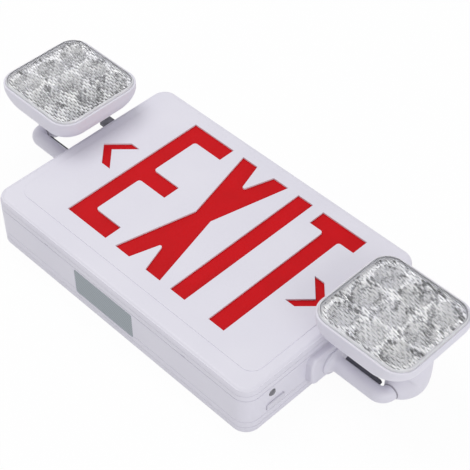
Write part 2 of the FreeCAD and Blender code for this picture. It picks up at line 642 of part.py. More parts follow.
def led_strip(side):
    """Thin board along one long wall of the tray, with a row of domed LEDs facing inwards."""
    wall_y = TRAY_HEIGHT / 2.0 - TRAY_WALL - MOUNT_GAP
    z_middle = (TRAY_FLOOR_Z + TRAY_WALL + TRAY_TOP_Z) / 2.0
    y_low, y_high = sorted((side * wall_y, side * (wall_y - BOARD_THICKNESS)))
    strip = [box(-LED_STRIP_LENGTH / 2.0, LED_STRIP_LENGTH / 2.0, y_low, y_high,
                 z_middle - LED_STRIP_WIDTH / 2.0, z_middle + LED_STRIP_WIDTH / 2.0)]
    for index in range(LED_COUNT):
        x = (index - (LED_COUNT - 1) / 2.0) * LED_PITCH
        strip.append(cylinder(LED_RADIUS, V(x, side * (wall_y - BOARD_THICKNESS / 2.0), z_middle),
                              V(0, -side, 0), BOARD_THICKNESS / 2.0 + LED_RADIUS))
    return fused(strip)


# ---------------------------------------------------------------- power parts
def charger_board():
    """Circuit board with its relay, capacitors and terminal block soldered on."""
    z = CHARGER_STANDOFF_Z + MOUNT_GAP
    top = z + BOARD_THICKNESS
    foot = top - SOLDER_SINK
    low_x = CHARGER_X - CHARGER_LENGTH / 2.0
    low_y = CHARGER_Y - CHARGER_HEIGHT / 2.0
    high_y = CHARGER_Y + CHARGER_HEIGHT / 2.0
    board = rounded_block(CHARGER_LENGTH, CHARGER_HEIGHT, CHARGER_CORNER_RADIUS, z, top,
                          CHARGER_X, CHARGER_Y)
    relay_x = low_x + RELAY_FROM_END
    relay = box(relay_x, relay_x + RELAY_LENGTH, CHARGER_Y - RELAY_WIDTH / 2.0,
                CHARGER_Y + RELAY_WIDTH / 2.0, foot, top + RELAY_HEIGHT)
    block_y = high_y - TERMINALS_FROM_SIDE
    terminals = box(CHARGER_X - TERMINALS_LENGTH / 2.0, CHARGER_X + TERMINALS_LENGTH / 2.0,
                    block_y - TERMINALS_WIDTH, block_y, foot, top + TERMINALS_HEIGHT)
    up = V(0, 0, 1)
    cans = [cylinder(CAN_RADIUS, V(CHARGER_X + (i + 0.3) * CAN_PITCH, CHARGER_Y, foot), up,
                     CAN_HEIGHT) for i in range(2)]
    chip_y = low_y + CHIP_FROM_SIDE
    chip = box(CHARGER_X - CHIP_LENGTH / 2.0, CHARGER_X + CHIP_LENGTH / 2.0, chip_y,
               chip_y + CHIP_WIDTH, foot, top + CHIP_HEIGHT)
    board = fused([board, relay, terminals, chip] + cans)
    holes = [cylinder(SCREW_RADIUS + SCREW_GAP, V(p.x, p.y, 0), up, HOUSING_DEPTH)
             for p in charger_places()]
    return board.cut(Part.makeCompound(holes))


def transformer():
    """Laminated core with its wound bobbin, on a strap with two feet."""
    z = BACK_FLOOR + MOUNT_GAP
    x, y = TRANSFORMER_X, TRANSFORMER_Y
    half = TRANSFORMER_LENGTH / 2.0
    core = box(x - half, x + half, y - TRANSFORMER_WIDTH / 4.0, y + TRANSFORMER_WIDTH / 4.0,
               z, z + TRANSFORMER_HEIGHT)
    bobbin = rounded_block(TRANSFORMER_LENGTH * 0.6, TRANSFORMER_WIDTH, 5.0, z + 2.0,
                           z + TRANSFORMER_HEIGHT - 2.0, x, y)
    solids = [core, bobbin]
    holes = []
    for side, place in zip((-1, 1), transformer_places()):
        x_low, x_high = sorted((x + side * (half - 1.0), place.x + side * BOSS_RADIUS))
        foot_z = place.z + MOUNT_GAP
        solids.append(box(x_low, x_high, y - TRANSFORMER_WIDTH / 4.0, y + TRANSFORMER_WIDTH / 4.0,
                          foot_z, foot_z + CLIP_THICKNESS))
        holes.append(cylinder(SCREW_RADIUS + SCREW_GAP, V(place.x, place.y, z), V(0, 0, 1),
                              HOUSING_DEPTH))
    return fused(solids).cut(Part.makeCompound(holes))


def battery_pack():
    """Three cells side by side in one shrink sleeve."""
    z = BACK_FLOOR + MOUNT_GAP + CELL_RADIUS
    solids = []
    for index in range(CELL_COUNT):
        y = BATTERY_Y + (index - (CELL_COUNT - 1) / 2.0) * CELL_PITCH
        solids.append(cylinder(CELL_RADIUS, V(BATTERY_X - CELL_LENGTH / 2.0, y, z), V(1, 0, 0),
                               CELL_LENGTH))
    return fused(solids)


def battery_clip():
    """Sheet strap over the battery, screwed down at both feet."""
    half_span = battery_half_width() + MOUNT_GAP
    top = BACK_FLOOR + 2.0 * CELL_RADIUS + 3.0 * MOUNT_GAP
    foot_z = BACK_FLOOR + SCREW_LENGTH + MOUNT_GAP
    x_low = BATTERY_X - CLIP_WIDTH / 2.0
    x_high = BATTERY_X + CLIP_WIDTH / 2.0
    out = half_span + CLIP_THICKNESS
    solids = [box(x_low, x_high, BATTERY_Y - out, BATTERY_Y + out, top, top + CLIP_THICKNESS)]
    holes = []
    for side, place in zip((-1, 1), clip_places()):
        y_low, y_high = sorted((BATTERY_Y + side * half_span, BATTERY_Y + side * out))
        solids.append(box(x_low, x_high, y_low, y_high, foot_z, top + CLIP_THICKNESS))
        y_low, y_high = sorted((BATTERY_Y + side * half_span, place.y + side * CLIP_FOOT / 2.0))
        solids.append(box(x_low, x_high, y_low, y_high, foot_z, foot_z + CLIP_THICKNESS))
        holes.append(cylinder(SCREW_RADIUS + SCREW_GAP, V(place.x, place.y, 0), V(0, 0, 1),
                              HOUSING_DEPTH))
    return fused(solids).cut(Part.makeCompound(holes))


def board_screws():
    """Screws of the charger board, transformer, battery clip and light tray."""
    down = V(0, 0, -1)
    seats = [(p, BOARD_THICKNESS) for p in charger_places()]
    seats += [(p, CLIP_THICKNESS) for p in transformer_places() + clip_places()]
    seats += [(p, TRAY_WALL) for p in tray_places()]
    return [screw(p + V(0, 0, thickness + 2.0 * MOUNT_GAP), down) for p, thickness in seats]


# ---------------------------------------------------------------- button and status lamp
def switch_board_posts():
    """(y, z) of the two posts that carry the switch board."""
    z = INDICATOR_Z - SWITCH_POST_DROP
    return [(BUTTON_Y - SWITCH_POST_REACH, z), (BUTTON_Y + SWITCH_POST_REACH, z)]


def switch_board():
    """Small upright board behind the button, with the status LED."""
    reach = SWITCH_POST_REACH + BOSS_RADIUS + SWITCH_BOARD_MARGIN
    top = INDICATOR_Z - SWITCH_POST_DROP + BOSS_RADIUS + SWITCH_BOARD_MARGIN
    board = box(SWITCH_BOARD_X - BOARD_THICKNESS, SWITCH_BOARD_X, BUTTON_Y - reach,
                BUTTON_Y + reach, SWITCH_BOARD_LOW_Z, top)
    led = cylinder(STATUS_LED_RADIUS, V(SWITCH_BOARD_X - BOARD_THICKNESS / 2.0, INDICATOR_Y,
                                        INDICATOR_Z), V(1, 0, 0), STATUS_LED_LENGTH)
    holes = [cylinder(SCREW_RADIUS + SCREW_GAP, V(SWITCH_BOARD_X - 2.0 * BOARD_THICKNESS, y, z),
                      V(1, 0, 0), 4.0 * BOARD_THICKNESS) for y, z in switch_board_posts()]
    return fused([board, led]).cut(Part.makeCompound(holes))


def switch_screws():
    """Two screws that hold the switch board to its posts."""
    x = SWITCH_BOARD_X - BOARD_THICKNESS - MOUNT_GAP
    return [screw(V(x, y, z), V(1, 0, 0)) for y, z in switch_board_posts()]


def button_stem_end():
    """X of the inner end of the button's stem."""
    return SWITCH_BOARD_X + SWITCH_DEPTH + BUTTON_TRAVEL + 4.0 * MOUNT_GAP


def test_switch():
    """Push switch on the switch board."""
    half = SWITCH_BODY / 2.0
    start = SWITCH_BOARD_X + MOUNT_GAP
    body = box(start, start + SWITCH_DEPTH - 1.0, BUTTON_Y - half, BUTTON_Y + half,
               BUTTON_Z - half, BUTTON_Z + half)
    plunger = cylinder(SWITCH_BODY / 4.0, V(start, BUTTON_Y, BUTTON_Z), V(1, 0, 0), SWITCH_DEPTH)
    return fused([body, plunger])


def test_button():
    """Key cap with a soft crown, a guide flange behind the wall and a stem to the switch."""
    flange_x = INNER_END_X - FACE_GAP - BUTTON_FLANGE_THICKNESS
    cap = end_block(BUTTON_LENGTH, BUTTON_WIDTH, BUTTON_CORNER_RADIUS, flange_x,
                    END_X + BUTTON_PROUD, BUTTON_Y, BUTTON_Z)
    outer_edges = [e for e in cap.Edges if e.BoundBox.XMin > END_X + BUTTON_PROUD - 0.01]
    cap = cap.makeFillet(min(0.8, BUTTON_PROUD / 2.0), outer_edges)
    flange = end_block(BUTTON_LENGTH + 2.0 * BUTTON_FLANGE, BUTTON_WIDTH + 2.0 * BUTTON_FLANGE,
                       BUTTON_CORNER_RADIUS, flange_x, flange_x + BUTTON_FLANGE_THICKNESS,
                       BUTTON_Y, BUTTON_Z)
    stem = cylinder(SWITCH_BODY / 3.0, V(button_stem_end(), BUTTON_Y, BUTTON_Z), V(1, 0, 0),
                    flange_x - button_stem_end() + BUTTON_FLANGE_THICKNESS)
    return fused([cap, flange, stem])


def indicator_lens():
    """Domed status lens with a flange behind the wall."""
    start = V(INNER_END_X - WALL, INDICATOR_Y, INDICATOR_Z)
    along = V(1, 0, 0)
    flange = cylinder(INDICATOR_RADIUS + INDICATOR_FLANGE, start, along, WALL - MOUNT_GAP)
    barrel = cylinder(INDICATOR_RADIUS, start, along, 2.0 * WALL + 0.2)
    sphere_radius = (INDICATOR_RADIUS ** 2 + INDICATOR_PROUD ** 2) / (2.0 * INDICATOR_PROUD)
    centre = V(END_X + 0.2 + INDICATOR_PROUD - sphere_radius, INDICATOR_Y, INDICATOR_Z)
    dome = Part.makeSphere(sphere_radius, centre).common(
        cylinder(INDICATOR_RADIUS, V(END_X, INDICATOR_Y, INDICATOR_Z), along, 4.0 * INDICATOR_PROUD))
    return fused([flange, barrel, dome])


# ---------------------------------------------------------------- arms (right-hand pieces)
def pad_screw_ys():
    """Y of the two screws that hold a pad to its end wall."""
    return [ARM_Y + side * PAD_SCREW_SPACING / 2.0 for side in (-1, 1)]


def arm_pad():
    """Bevelled pad on the end wall, bored for the arm's journal."""
    block = end_block(PAD_LENGTH, PAD_HEIGHT, PAD_CORNER_RADIUS, END_X, PAD_FACE_X, ARM_Y,
                      ARM_Z + PAD_RISE)
    outer_edges = [e for e in block.Edges if e.BoundBox.XMin > PAD_FACE_X - 0.01]
    block = block.makeFillet(PAD_BEVEL, outer_edges)
    bore = cylinder(JOURNAL_RADIUS + JOURNAL_CLEARANCE, V(END_X - 1.0, ARM_Y, ARM_Z), V(1, 0, 0),
                    PAD_DEPTH + 2.0)
    pilots = [cylinder(SCREW_RADIUS + SCREW_GAP, V(END_X, y, ARM_Z), V(1, 0, 0),
                       SCREW_LENGTH - WALL + MOUNT_GAP) for y in pad_screw_ys()]
    return block.cut(Part.makeCompound([bore] + pilots))


def pad_screws():
    """Screws from inside the housing into both pads."""
    right = [screw(V(INNER_END_X - MOUNT_GAP, y, ARM_Z), V(1, 0, 0)) for y in pad_screw_ys()]
    return right + [mirrored(s) for s in right]


def bent_rod(radius, start_x, end_y):
    """A round rod along X that turns up to +Y at the elbow and ends at end_y."""
    straight = cylinder(radius, V(start_x, ARM_Y, ARM_Z), V(1, 0, 0), BEND_X - start_x)
    circle = Part.Wire(Part.makeCircle(radius, V(BEND_X, ARM_Y, ARM_Z), V(1, 0, 0)))
    bend = Part.Face(circle).revolve(V(BEND_X, ELBOW_TOP_Y, ARM_Z), V(0, 0, 1), 90.0)
    solids = [straight, bend]
    if end_y > ELBOW_TOP_Y:
        solids.append(cylinder(radius, V(ELBOW_X, ELBOW_TOP_Y, ARM_Z), V(0, 1, 0),
                               end_y - ELBOW_TOP_Y))
    return fused(solids)


def arm_root():
    """Round foot of the arm that flares onto the pad."""
    flare = ARM_ROOT_RADIUS - ARM_RADIUS
    edge_x = ARM_START_X + ARM_ROOT_EDGE
    k = flare * math.sqrt(0.5)

    def at(x, r):
        return V(x, ARM_Y + r, ARM_Z)

    inner = ARM_LEAD_HOLE_RADIUS
    profile = [
        line(at(ARM_START_X, inner), at(ARM_START_X, ARM_ROOT_RADIUS)),
        line(at(ARM_START_X, ARM_ROOT_RADIUS), at(edge_x, ARM_ROOT_RADIUS)),
        Part.Arc(at(edge_x, ARM_ROOT_RADIUS), at(edge_x + flare - k, ARM_ROOT_RADIUS - k),
                 at(edge_x + flare, ARM_RADIUS)).toShape(),
        line(at(edge_x + flare, ARM_RADIUS), at(edge_x + flare, inner)),
        line(at(edge_x + flare, inner), at(ARM_START_X, inner)),
    ]
    return turned(profile, V(ARM_START_X, ARM_Y, ARM_Z), V(1, 0, 0))


def arm():
    """Hollow arm with journal, flared root, elbow and swivel spigot."""
    spigot_end = ELBOW_TOP_Y + SPIGOT_LENGTH
    tube_part = bent_rod(ARM_RADIUS, ARM_START_X, ELBOW_TOP_Y)
    journal = cylinder(JOURNAL_RADIUS, V(NUT_X - 1.0, ARM_Y, ARM_Z), V(1, 0, 0),
                       ARM_START_X + 2.0 - NUT_X)
    spigot = cylinder(SPIGOT_RADIUS, V(ELBOW_X, ELBOW_TOP_Y - 1.0, ARM_Z), V(0, 1, 0),
                      SPIGOT_LENGTH + 1.0)
    body = fused([tube_part, journal, arm_root(), spigot])
    lead_hole = bent_rod(ARM_LEAD_HOLE_RADIUS, NUT_X - 2.0, spigot_end + 1.0)
    groove = tube(SPIGOT_RADIUS + 1.0, SPIGOT_RADIUS - PAN_CLIP_GROOVE,
                  V(ELBOW_X, pan_clip_y() - PAN_CLIP_GAP / 2.0, ARM_Z), V(0, 1, 0),
                  PAN_CLIP_THICKNESS + PAN_CLIP_GAP)
    half = LEAD_COVER_WIDTH / 2.0
    channel = box(LEAD_COVER_START, LEAD_COVER_START + LEAD_COVER_LENGTH, ARM_Y,
                  ARM_Y + 2.0 * ARM_RADIUS, ARM_Z - half, ARM_Z + half)
    return body.cut(Part.makeCompound([lead_hole, groove, round_the_arm(channel)]))


def round_the_arm(shape):
    """Turn a shape about the arm's own axis, to where its lead channel lies."""
    turned_shape = shape.copy()
    turned_shape.rotate(V(0, ARM_Y, ARM_Z), V(1, 0, 0), LEAD_COVER_TURN)
    return turned_shape


def arm_lead_cover():
    """Dark strip that closes the lead channel along the arm's upper side."""
    gap = LEAD_COVER_GAP
    half = LEAD_COVER_WIDTH / 2.0 - gap
    x_low = LEAD_COVER_START + gap
    x_high = LEAD_COVER_START + LEAD_COVER_LENGTH - gap
    strip = box(x_low, x_high, ARM_Y + ARM_RADIUS - LEAD_COVER_ROOT,
                ARM_Y + ARM_RADIUS + LEAD_COVER_PROUD, ARM_Z - half, ARM_Z + half)
    crown = [e for e in strip.Edges
             if e.BoundBox.YMin > ARM_Y + ARM_RADIUS + LEAD_COVER_PROUD - 0.01]
    return round_the_arm(strip.makeFillet(LEAD_COVER_CROWN, crown))


def arm_washer():
    """Friction washer between the end wall and the arm's nut."""
    return tube(ARM_WASHER_RADIUS, JOURNAL_RADIUS + JOURNAL_CLEARANCE,
                V(WASHER_X, ARM_Y, ARM_Z), V(1, 0, 0), ARM_WASHER_THICKNESS)


def arm_nut():
    """Hexagon nut on the end of the journal."""
    radius = ARM_NUT_FLATS / math.sqrt(3.0)
    points = [V(NUT_X, ARM_Y + radius * math.cos(math.radians(60 * i)),
                ARM_Z + radius * math.sin(math.radians(60 * i))) for i in range(6)]
    prism = Part.Face(Part.makePolygon(points + points[:1])).extrude(
        V(ARM_NUT_THICKNESS - MOUNT_GAP, 0, 0))
    return prism.cut(cylinder(JOURNAL_RADIUS + JOURNAL_CLEARANCE, V(NUT_X - 1.0, ARM_Y, ARM_Z),
                              V(1, 0, 0), ARM_NUT_THICKNESS + 2.0))


def swivel_ring():
    """Thin dark ring in the joint between elbow and neck."""
    return tube(SWIVEL_RING_RADIUS, SPIGOT_RADIUS + SPIGOT_CLEARANCE,
                V(ELBOW_X, ELBOW_TOP_Y + PAN_CLIP_GAP, ARM_Z), V(0, 1, 0), SWIVEL_RING_THICKNESS)


def pan_clip_y():
    """Y of the clip's face that bears on the neck's floor."""
    return NECK_START_Y + NECK_FLOOR + PAN_CLIP_GAP


def pan_clip():
    """Open spring clip in the spigot's groove."""
    ring = tube(PAN_CLIP_RADIUS, SPIGOT_RADIUS - PAN_CLIP_GROOVE + SPIGOT_CLEARANCE,
                V(ELBOW_X, pan_clip_y(), ARM_Z), V(0, 1, 0), PAN_CLIP_THICKNESS)
    mouth = box(ELBOW_X - SPIGOT_RADIUS * 0.7, ELBOW_X + SPIGOT_RADIUS * 0.7,
                pan_clip_y() - 1.0, pan_clip_y() + PAN_CLIP_THICKNESS + 1.0,
                ARM_Z, ARM_Z + 2.0 * PAN_CLIP_RADIUS)
    return ring.cut(mouth)


# ---------------------------------------------------------------- lamp heads (right-hand pieces)
def neck_sections(inset):
    """Circles along the neck: it flares from the swivel joint and turns from +Y up to +Z."""
    rise = DOME_START_Z - ARM_Z
    stations = [
        (0.0, 0.0, 0.0, 0.0, SWIVEL_RING_RADIUS + 0.4),
        (0.8, 0.22, 0.004, 2.0, 0.60 * NECK_RADIUS),
        (1.6, 0.50, 0.03, 14.0, 0.80 * NECK_RADIUS),
        (2.2, 0.79, 0.12, 42.0, 0.92 * NECK_RADIUS),
        (1.4, 0.95, 0.30, 70.0, 0.95 * NECK_RADIUS),
        (0.2, 1.00, 0.55, 86.0, 0.96 * NECK_RADIUS),
        (-0.8, 1.00, 0.90, 90.0, NECK_RADIUS),
    ]
    wires = []
    for dx, along, up, lean, radius in stations:
        normal = V(0, math.cos(math.radians(lean)), math.sin(math.radians(lean)))
        middle = V(ELBOW_X + dx, NECK_START_Y + along * NECK_REACH, ARM_Z + up * rise)
        wires.append(Part.Wire(Part.makeCircle(radius - inset, middle, normal)))
    return wires


def dome(inset, depth):
    """Domed back of a lamp head: full towards the sign, receding on the outer side."""
    length = LAMP_LENGTH - 2.0 * inset
    height = LAMP_HEIGHT - 2.0 * inset
    wires = []
    for share in (0.0, 0.3, 0.55, 0.76, 0.9, 0.975):
        outer, inner, low, high = [(1.0 - share ** n) ** (1.0 / n) for n in DOME_FULLNESS]
        radius = ((LAMP_CORNER_RADIUS - inset) * min(outer + inner, low + high) / 2.0
                  * (1.0 + DOME_ROUNDING * share))
        wires.append(rounded_outline(length * (outer + inner) / 2.0, height * (low + high) / 2.0,
                                     radius, LAMP_X + length * (outer - inner) / 4.0,
                                     LAMP_Y + height * (high - low) / 4.0,
                                     DOME_START_Z - depth * share))
    return Part.makeLoft(wires, True, False)


def lamp_boss_places():
    """Middles of the four bosses that carry a lamp board, between the reflector's cups."""
    return [V(LAMP_X + sx * CUP_PITCH / 2.0, LAMP_Y + sy * CUP_PITCH, LAMP_BOARD_Z - MOUNT_GAP)
            for sx in (-1, 1) for sy in (-1, 1)]


def lamp_shell():
    """Moulded head: square rim, domed back and the flared neck that swivels on the elbow."""
    rim = rounded_block(LAMP_LENGTH, LAMP_HEIGHT, LAMP_CORNER_RADIUS, DOME_START_Z, LAMP_FRONT_Z,
                        LAMP_X, LAMP_Y)
    front_edges = [e for e in rim.Edges if e.BoundBox.ZMin > LAMP_FRONT_Z - 0.01]
    rim = rim.makeFillet(1.0, front_edges)
    neck = Part.makeLoft(neck_sections(0.0), True, False)
    outside = fused([rim, dome(0.0, LAMP_DOME), neck])
    seat = rounded_block(LAMP_LENGTH - 2.0 * LAMP_RIM, LAMP_HEIGHT - 2.0 * LAMP_RIM,
                         LAMP_CORNER_RADIUS - LAMP_RIM, LENS_BACK_Z, LAMP_FRONT_Z + 1.0,
                         LAMP_X, LAMP_Y)
    ledge = LAMP_RIM + SEAT_LEDGE
    throat = rounded_block(LAMP_LENGTH - 2.0 * ledge, LAMP_HEIGHT - 2.0 * ledge,
                           LAMP_CORNER_RADIUS - ledge, LENS_BACK_Z - 1.5 * SEAT_LEDGE,
                           LENS_BACK_Z + 1.0, LAMP_X, LAMP_Y)
    well = rounded_block(LAMP_LENGTH - 2.0 * LAMP_WALL, LAMP_HEIGHT - 2.0 * LAMP_WALL,
                         LAMP_CORNER_RADIUS - LAMP_WALL, DOME_START_Z,
                         LENS_BACK_Z - SEAT_LEDGE, LAMP_X, LAMP_Y)
    hollow_neck = Part.makeLoft(neck_sections(NECK_WALL)[1:], True, False)
    inside = fused([seat, throat, well, dome(LAMP_WALL, LAMP_DOME - LAMP_WALL), hollow_neck])
    above_floor = box(ELBOW_X - LAMP_LENGTH, ELBOW_X + LAMP_LENGTH, NECK_START_Y + NECK_FLOOR,
                      LAMP_Y + LAMP_HEIGHT, 0.0, LAMP_FRONT_Z + 2.0)
    below_floor = box(LAMP_X - LAMP_LENGTH, LAMP_X + LAMP_LENGTH, LAMP_Y - LAMP_HEIGHT,
                      NECK_START_Y + NECK_FLOOR, ARM_Z + NECK_BRIDGE, LAMP_FRONT_Z + 2.0)
    inside = inside.common(fused([above_floor, below_floor]))
    clip_room = cylinder(PAN_CLIP_RADIUS + 3.0 * PAN_CLIP_GAP,
                         V(ELBOW_X, NECK_START_Y + NECK_FLOOR, ARM_Z), V(0, 1, 0),
                         SPIGOT_LENGTH)
    swivel = cylinder(SPIGOT_RADIUS + SPIGOT_CLEARANCE, V(ELBOW_X, NECK_START_Y - 1.0, ARM_Z),
                      V(0, 1, 0), SPIGOT_LENGTH)
    shell = outside.cut(fused([inside, clip_room, swivel]))
    up = V(0, 0, 1)
    foot_z = DOME_START_Z - LAMP_DOME + 2.0 * LAMP_WALL
    bosses = [cylinder(BOSS_RADIUS, V(p.x, p.y, foot_z), up, p.z - foot_z)
              for p in lamp_boss_places()]
    bosses = [b.common(outside) for b in bosses]
    shell = fused([shell] + bosses)
    holes = [cylinder(SCREW_RADIUS + SCREW_GAP, p - up * LAMP_SCREW_LENGTH, up, SCREW_LENGTH)
             for p in lamp_boss_places()]
    return shell.cut(Part.makeCompound(holes))


def lamp_lens():
    """Clear cap-shaped lens: it seats inside the rim and stands a little above it."""
    inset = 2.0 * (LAMP_RIM + LENS_CLEARANCE)
    radius = LAMP_CORNER_RADIUS - LAMP_RIM - LENS_CLEARANCE
    seat_z = LENS_BACK_Z + MOUNT_GAP / 2.0
    cap = rounded_block(LAMP_LENGTH - inset, LAMP_HEIGHT - inset, radius, seat_z, LENS_FRONT_Z,
                        LAMP_X, LAMP_Y)
    front_edges = [e for e in cap.Edges if e.BoundBox.ZMin > LENS_FRONT_Z - 0.01]
    cap = cap.makeFillet(LENS_EDGE_RADIUS, front_edges)
    hollow = inset + 2.0 * LENS_SIDE_WALL
    return cap.cut(rounded_block(LAMP_LENGTH - hollow, LAMP_HEIGHT - hollow,
                                 radius - LENS_SIDE_WALL, seat_z - 1.0,
                                 LENS_FRONT_Z - LENS_THICKNESS, LAMP_X, LAMP_Y))


def cup_places():
    """Middles of the reflector's cups, a square grid."""
    middle = (CUP_COUNT - 1) / 2.0
    return [(LAMP_X + (i - middle) * CUP_PITCH, LAMP_Y + (j - middle) * CUP_PITCH)
            for i in range(CUP_COUNT) for j in range(CUP_COUNT)]


def lamp_reflector():
    """Metallised plate with a grid of flared cups."""
    inset = 2.0 * (LAMP_RIM + SEAT_LEDGE + LENS_CLEARANCE)
    plate = rounded_block(LAMP_LENGTH - inset, LAMP_HEIGHT - inset,
                          LAMP_CORNER_RADIUS - inset / 2.0, CUP_TOP_Z - REFLECTOR_PLATE,
                          CUP_TOP_Z, LAMP_X, LAMP_Y)
    outer = [Part.makeCone(CUP_BASE_RADIUS + CUP_WALL, CUP_MOUTH_RADIUS + CUP_WALL, CUP_DEPTH,
                           V(x, y, CUP_BOTTOM_Z)) for x, y in cup_places()]
    inner = [Part.makeCone(CUP_BASE_RADIUS, CUP_MOUTH_RADIUS, CUP_DEPTH, V(x, y, CUP_BOTTOM_Z))
             for x, y in cup_places()]
    return fused([plate] + outer).cut(Part.makeCompound(inner))


def lamp_led_board():
    """Board with one LED under each cup."""
    top = LAMP_BOARD_Z + BOARD_THICKNESS
    board = rounded_block(LAMP_BOARD_SIZE, LAMP_BOARD_SIZE, 4.0, LAMP_BOARD_Z, top, LAMP_X, LAMP_Y)
    half = LAMP_LED_SIZE / 2.0
    leds = [box(x - half, x + half, y - half, y + half, top - 0.2, top + LAMP_LED_HEIGHT)
            for x, y in cup_places()]
    holes = [cylinder(SCREW_RADIUS + SCREW_GAP, V(p.x, p.y, 0), V(0, 0, 1), HOUSING_DEPTH * 2.0)
             for p in lamp_boss_places()]
    return fused([board] + leds).cut(Part.makeCompound(holes))


def lamp_screws():
    """Four short screws that hold a lamp board to its bosses."""
    z = BOARD_THICKNESS + 2.0 * MOUNT_GAP
    down = V(0, 0, -1)
    screws = []
    for p in lamp_boss_places():
        head_at = p + V(0, 0, z)
        shank = cylinder(SCREW_RADIUS, head_at, down, LAMP_SCREW_LENGTH)
        head = cylinder(SCREW_HEAD_RADIUS, head_at, -down, LAMP_SCREW_HEAD)
        screws.append(shank.fuse(head))
    return screws


def side_tab():
    """Dark tab through the end wall, held by a flange inside."""
    tab = box(INNER_END_X - WALL, END_X + TAB_LENGTH, TAB_Y - TAB_WIDTH / 2.0,
              TAB_Y + TAB_WIDTH / 2.0, TAB_Z - TAB_THICKNESS / 2.0, TAB_Z + TAB_THICKNESS / 2.0)
    nose = [e for e in tab.Edges if e.BoundBox.XMin > END_X + TAB_LENGTH - 0.01]
    tab = tab.makeFillet(TAB_THICKNESS / 3.0, nose)
    flange = box(INNER_END_X - WALL, INNER_END_X - MOUNT_GAP,
                 TAB_Y - TAB_WIDTH / 2.0 - TAB_FLANGE, TAB_Y + TAB_WIDTH / 2.0 + TAB_FLANGE,
                 TAB_Z - TAB_THICKNESS / 2.0 - TAB_FLANGE,
                 TAB_Z + TAB_THICKNESS / 2.0 + TAB_FLANGE)
    return fused([tab, flange])


# ---------------------------------------------------------------- the whole light
def centre_pieces():
    """Pieces that exist once."""
    return {
        "back_plate": [back_plate()],
        "plate_screws": plate_screws(),
        "housing_frame": [housing_frame()],
        "front_cover": [front_cover()],
        "red_diffuser": [red_diffuser()],
        "light_tray": [light_tray()],
        "sign_led_strip_top": [led_strip(1)],
        "sign_led_strip_bottom": [led_strip(-1)],
        "charger_board": [charger_board()],
        "transformer": [transformer()],
        "battery_pack": [battery_pack()],
        "battery_clip": [battery_clip()],
        "board_screws": board_screws(),
        "switch_board": [switch_board()],
        "switch_screws": switch_screws(),
        "test_switch": [test_switch()],
        "test_button": [test_button()],
        "indicator_lens": [indicator_lens()],
        "pad_screws": pad_screws(),
    }


def side_pieces():
    """Right-hand pieces that have a left-hand twin."""
    return {
        "arm_pad": [arm_pad()],
        "arm": [arm()],
        "arm_lead_cover": [arm_lead_cover()],
        "arm_washer": [arm_washer()],
        "arm_nut": [arm_nut()],
        "swivel_ring": [swivel_ring()],
        "pan_clip": [pan_clip()],
        "lamp_shell": [lamp_shell()],
        "lamp_lens": [lamp_lens()],
        "lamp_reflector": [lamp_reflector()],
        "lamp_led_board": [lamp_led_board()],
        "lamp_screws": lamp_screws(),
        "side_tab": [side_tab()],
    }


FLIPPED_TWINS = ("arm", "arm_lead_cover")


def all_pieces():
    """Every node's name and its solids."""
    pieces = centre_pieces()
    for name, solids in side_pieces().items():
        pieces[name + "_right"] = solids
        twin = flipped if name in FLIPPED_TWINS else mirrored
        pieces[name + "_left"] = [twin(s) for s in solids]
    return pieces


def main():
    """Write one STEP file for each piece."""
    os.makedirs("parts", exist_ok=True)
    for name, solids in all_pieces().items():
        clean = [solid for shape in solids for solid in shape.Solids]
        shape = clean[0] if len(clean) == 1 else Part.makeCompound(clean)
        shape.exportStep("parts/" + name + ".step")
        print(name, len(clean), round(shape.Volume / 1000.0, 2), shape.isValid())


main()
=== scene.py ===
"""Emergency exit light: finishes, stencil lettering, lamp optics, light and camera.

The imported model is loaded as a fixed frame. Places come from its boxes, sizes are in
millimetres in the classes below and become metres where a mesh is made.
"""
import logging
import math
from dataclasses import dataclass, field
from enum import Enum
from typing import Any, Iterable, Optional, Sequence

import bmesh
import bpy
from mathutils import Matrix, Vector


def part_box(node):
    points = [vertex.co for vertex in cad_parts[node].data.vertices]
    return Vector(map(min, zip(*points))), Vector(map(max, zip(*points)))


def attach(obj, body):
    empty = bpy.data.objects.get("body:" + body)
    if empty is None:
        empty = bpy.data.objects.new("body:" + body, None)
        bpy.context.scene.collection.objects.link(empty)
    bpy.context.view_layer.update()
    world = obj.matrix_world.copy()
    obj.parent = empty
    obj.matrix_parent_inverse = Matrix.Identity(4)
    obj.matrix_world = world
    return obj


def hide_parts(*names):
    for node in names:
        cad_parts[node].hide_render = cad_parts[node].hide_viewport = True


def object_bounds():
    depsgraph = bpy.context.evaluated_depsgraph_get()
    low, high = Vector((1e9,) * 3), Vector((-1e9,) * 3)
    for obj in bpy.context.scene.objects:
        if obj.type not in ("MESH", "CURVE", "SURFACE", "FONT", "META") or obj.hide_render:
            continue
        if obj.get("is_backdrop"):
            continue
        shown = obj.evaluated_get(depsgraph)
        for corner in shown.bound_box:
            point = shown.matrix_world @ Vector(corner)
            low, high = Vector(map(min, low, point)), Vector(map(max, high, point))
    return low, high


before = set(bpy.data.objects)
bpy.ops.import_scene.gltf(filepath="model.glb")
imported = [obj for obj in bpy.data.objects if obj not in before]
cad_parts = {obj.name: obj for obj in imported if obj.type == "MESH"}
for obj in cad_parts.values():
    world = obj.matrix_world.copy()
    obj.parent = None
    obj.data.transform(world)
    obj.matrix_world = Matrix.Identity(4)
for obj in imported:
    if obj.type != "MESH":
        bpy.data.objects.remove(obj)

LOG = logging.getLogger("exit_light")
MM = 0.001
WAVE_BAND = math.tau / 20.0     # width of one band of the wave texture at scale 1
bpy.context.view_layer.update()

Point2 = tuple[float, float]
Colour = tuple[float, float, float, float]


class Side(Enum):
    """Which end of the sign a piece belongs to; the value is the sign of its X."""

    RIGHT = 1
    LEFT = -1

    @property
    def suffix(self) -> str:
        """The ending that node and body names take on this side."""
        return self.name.lower()


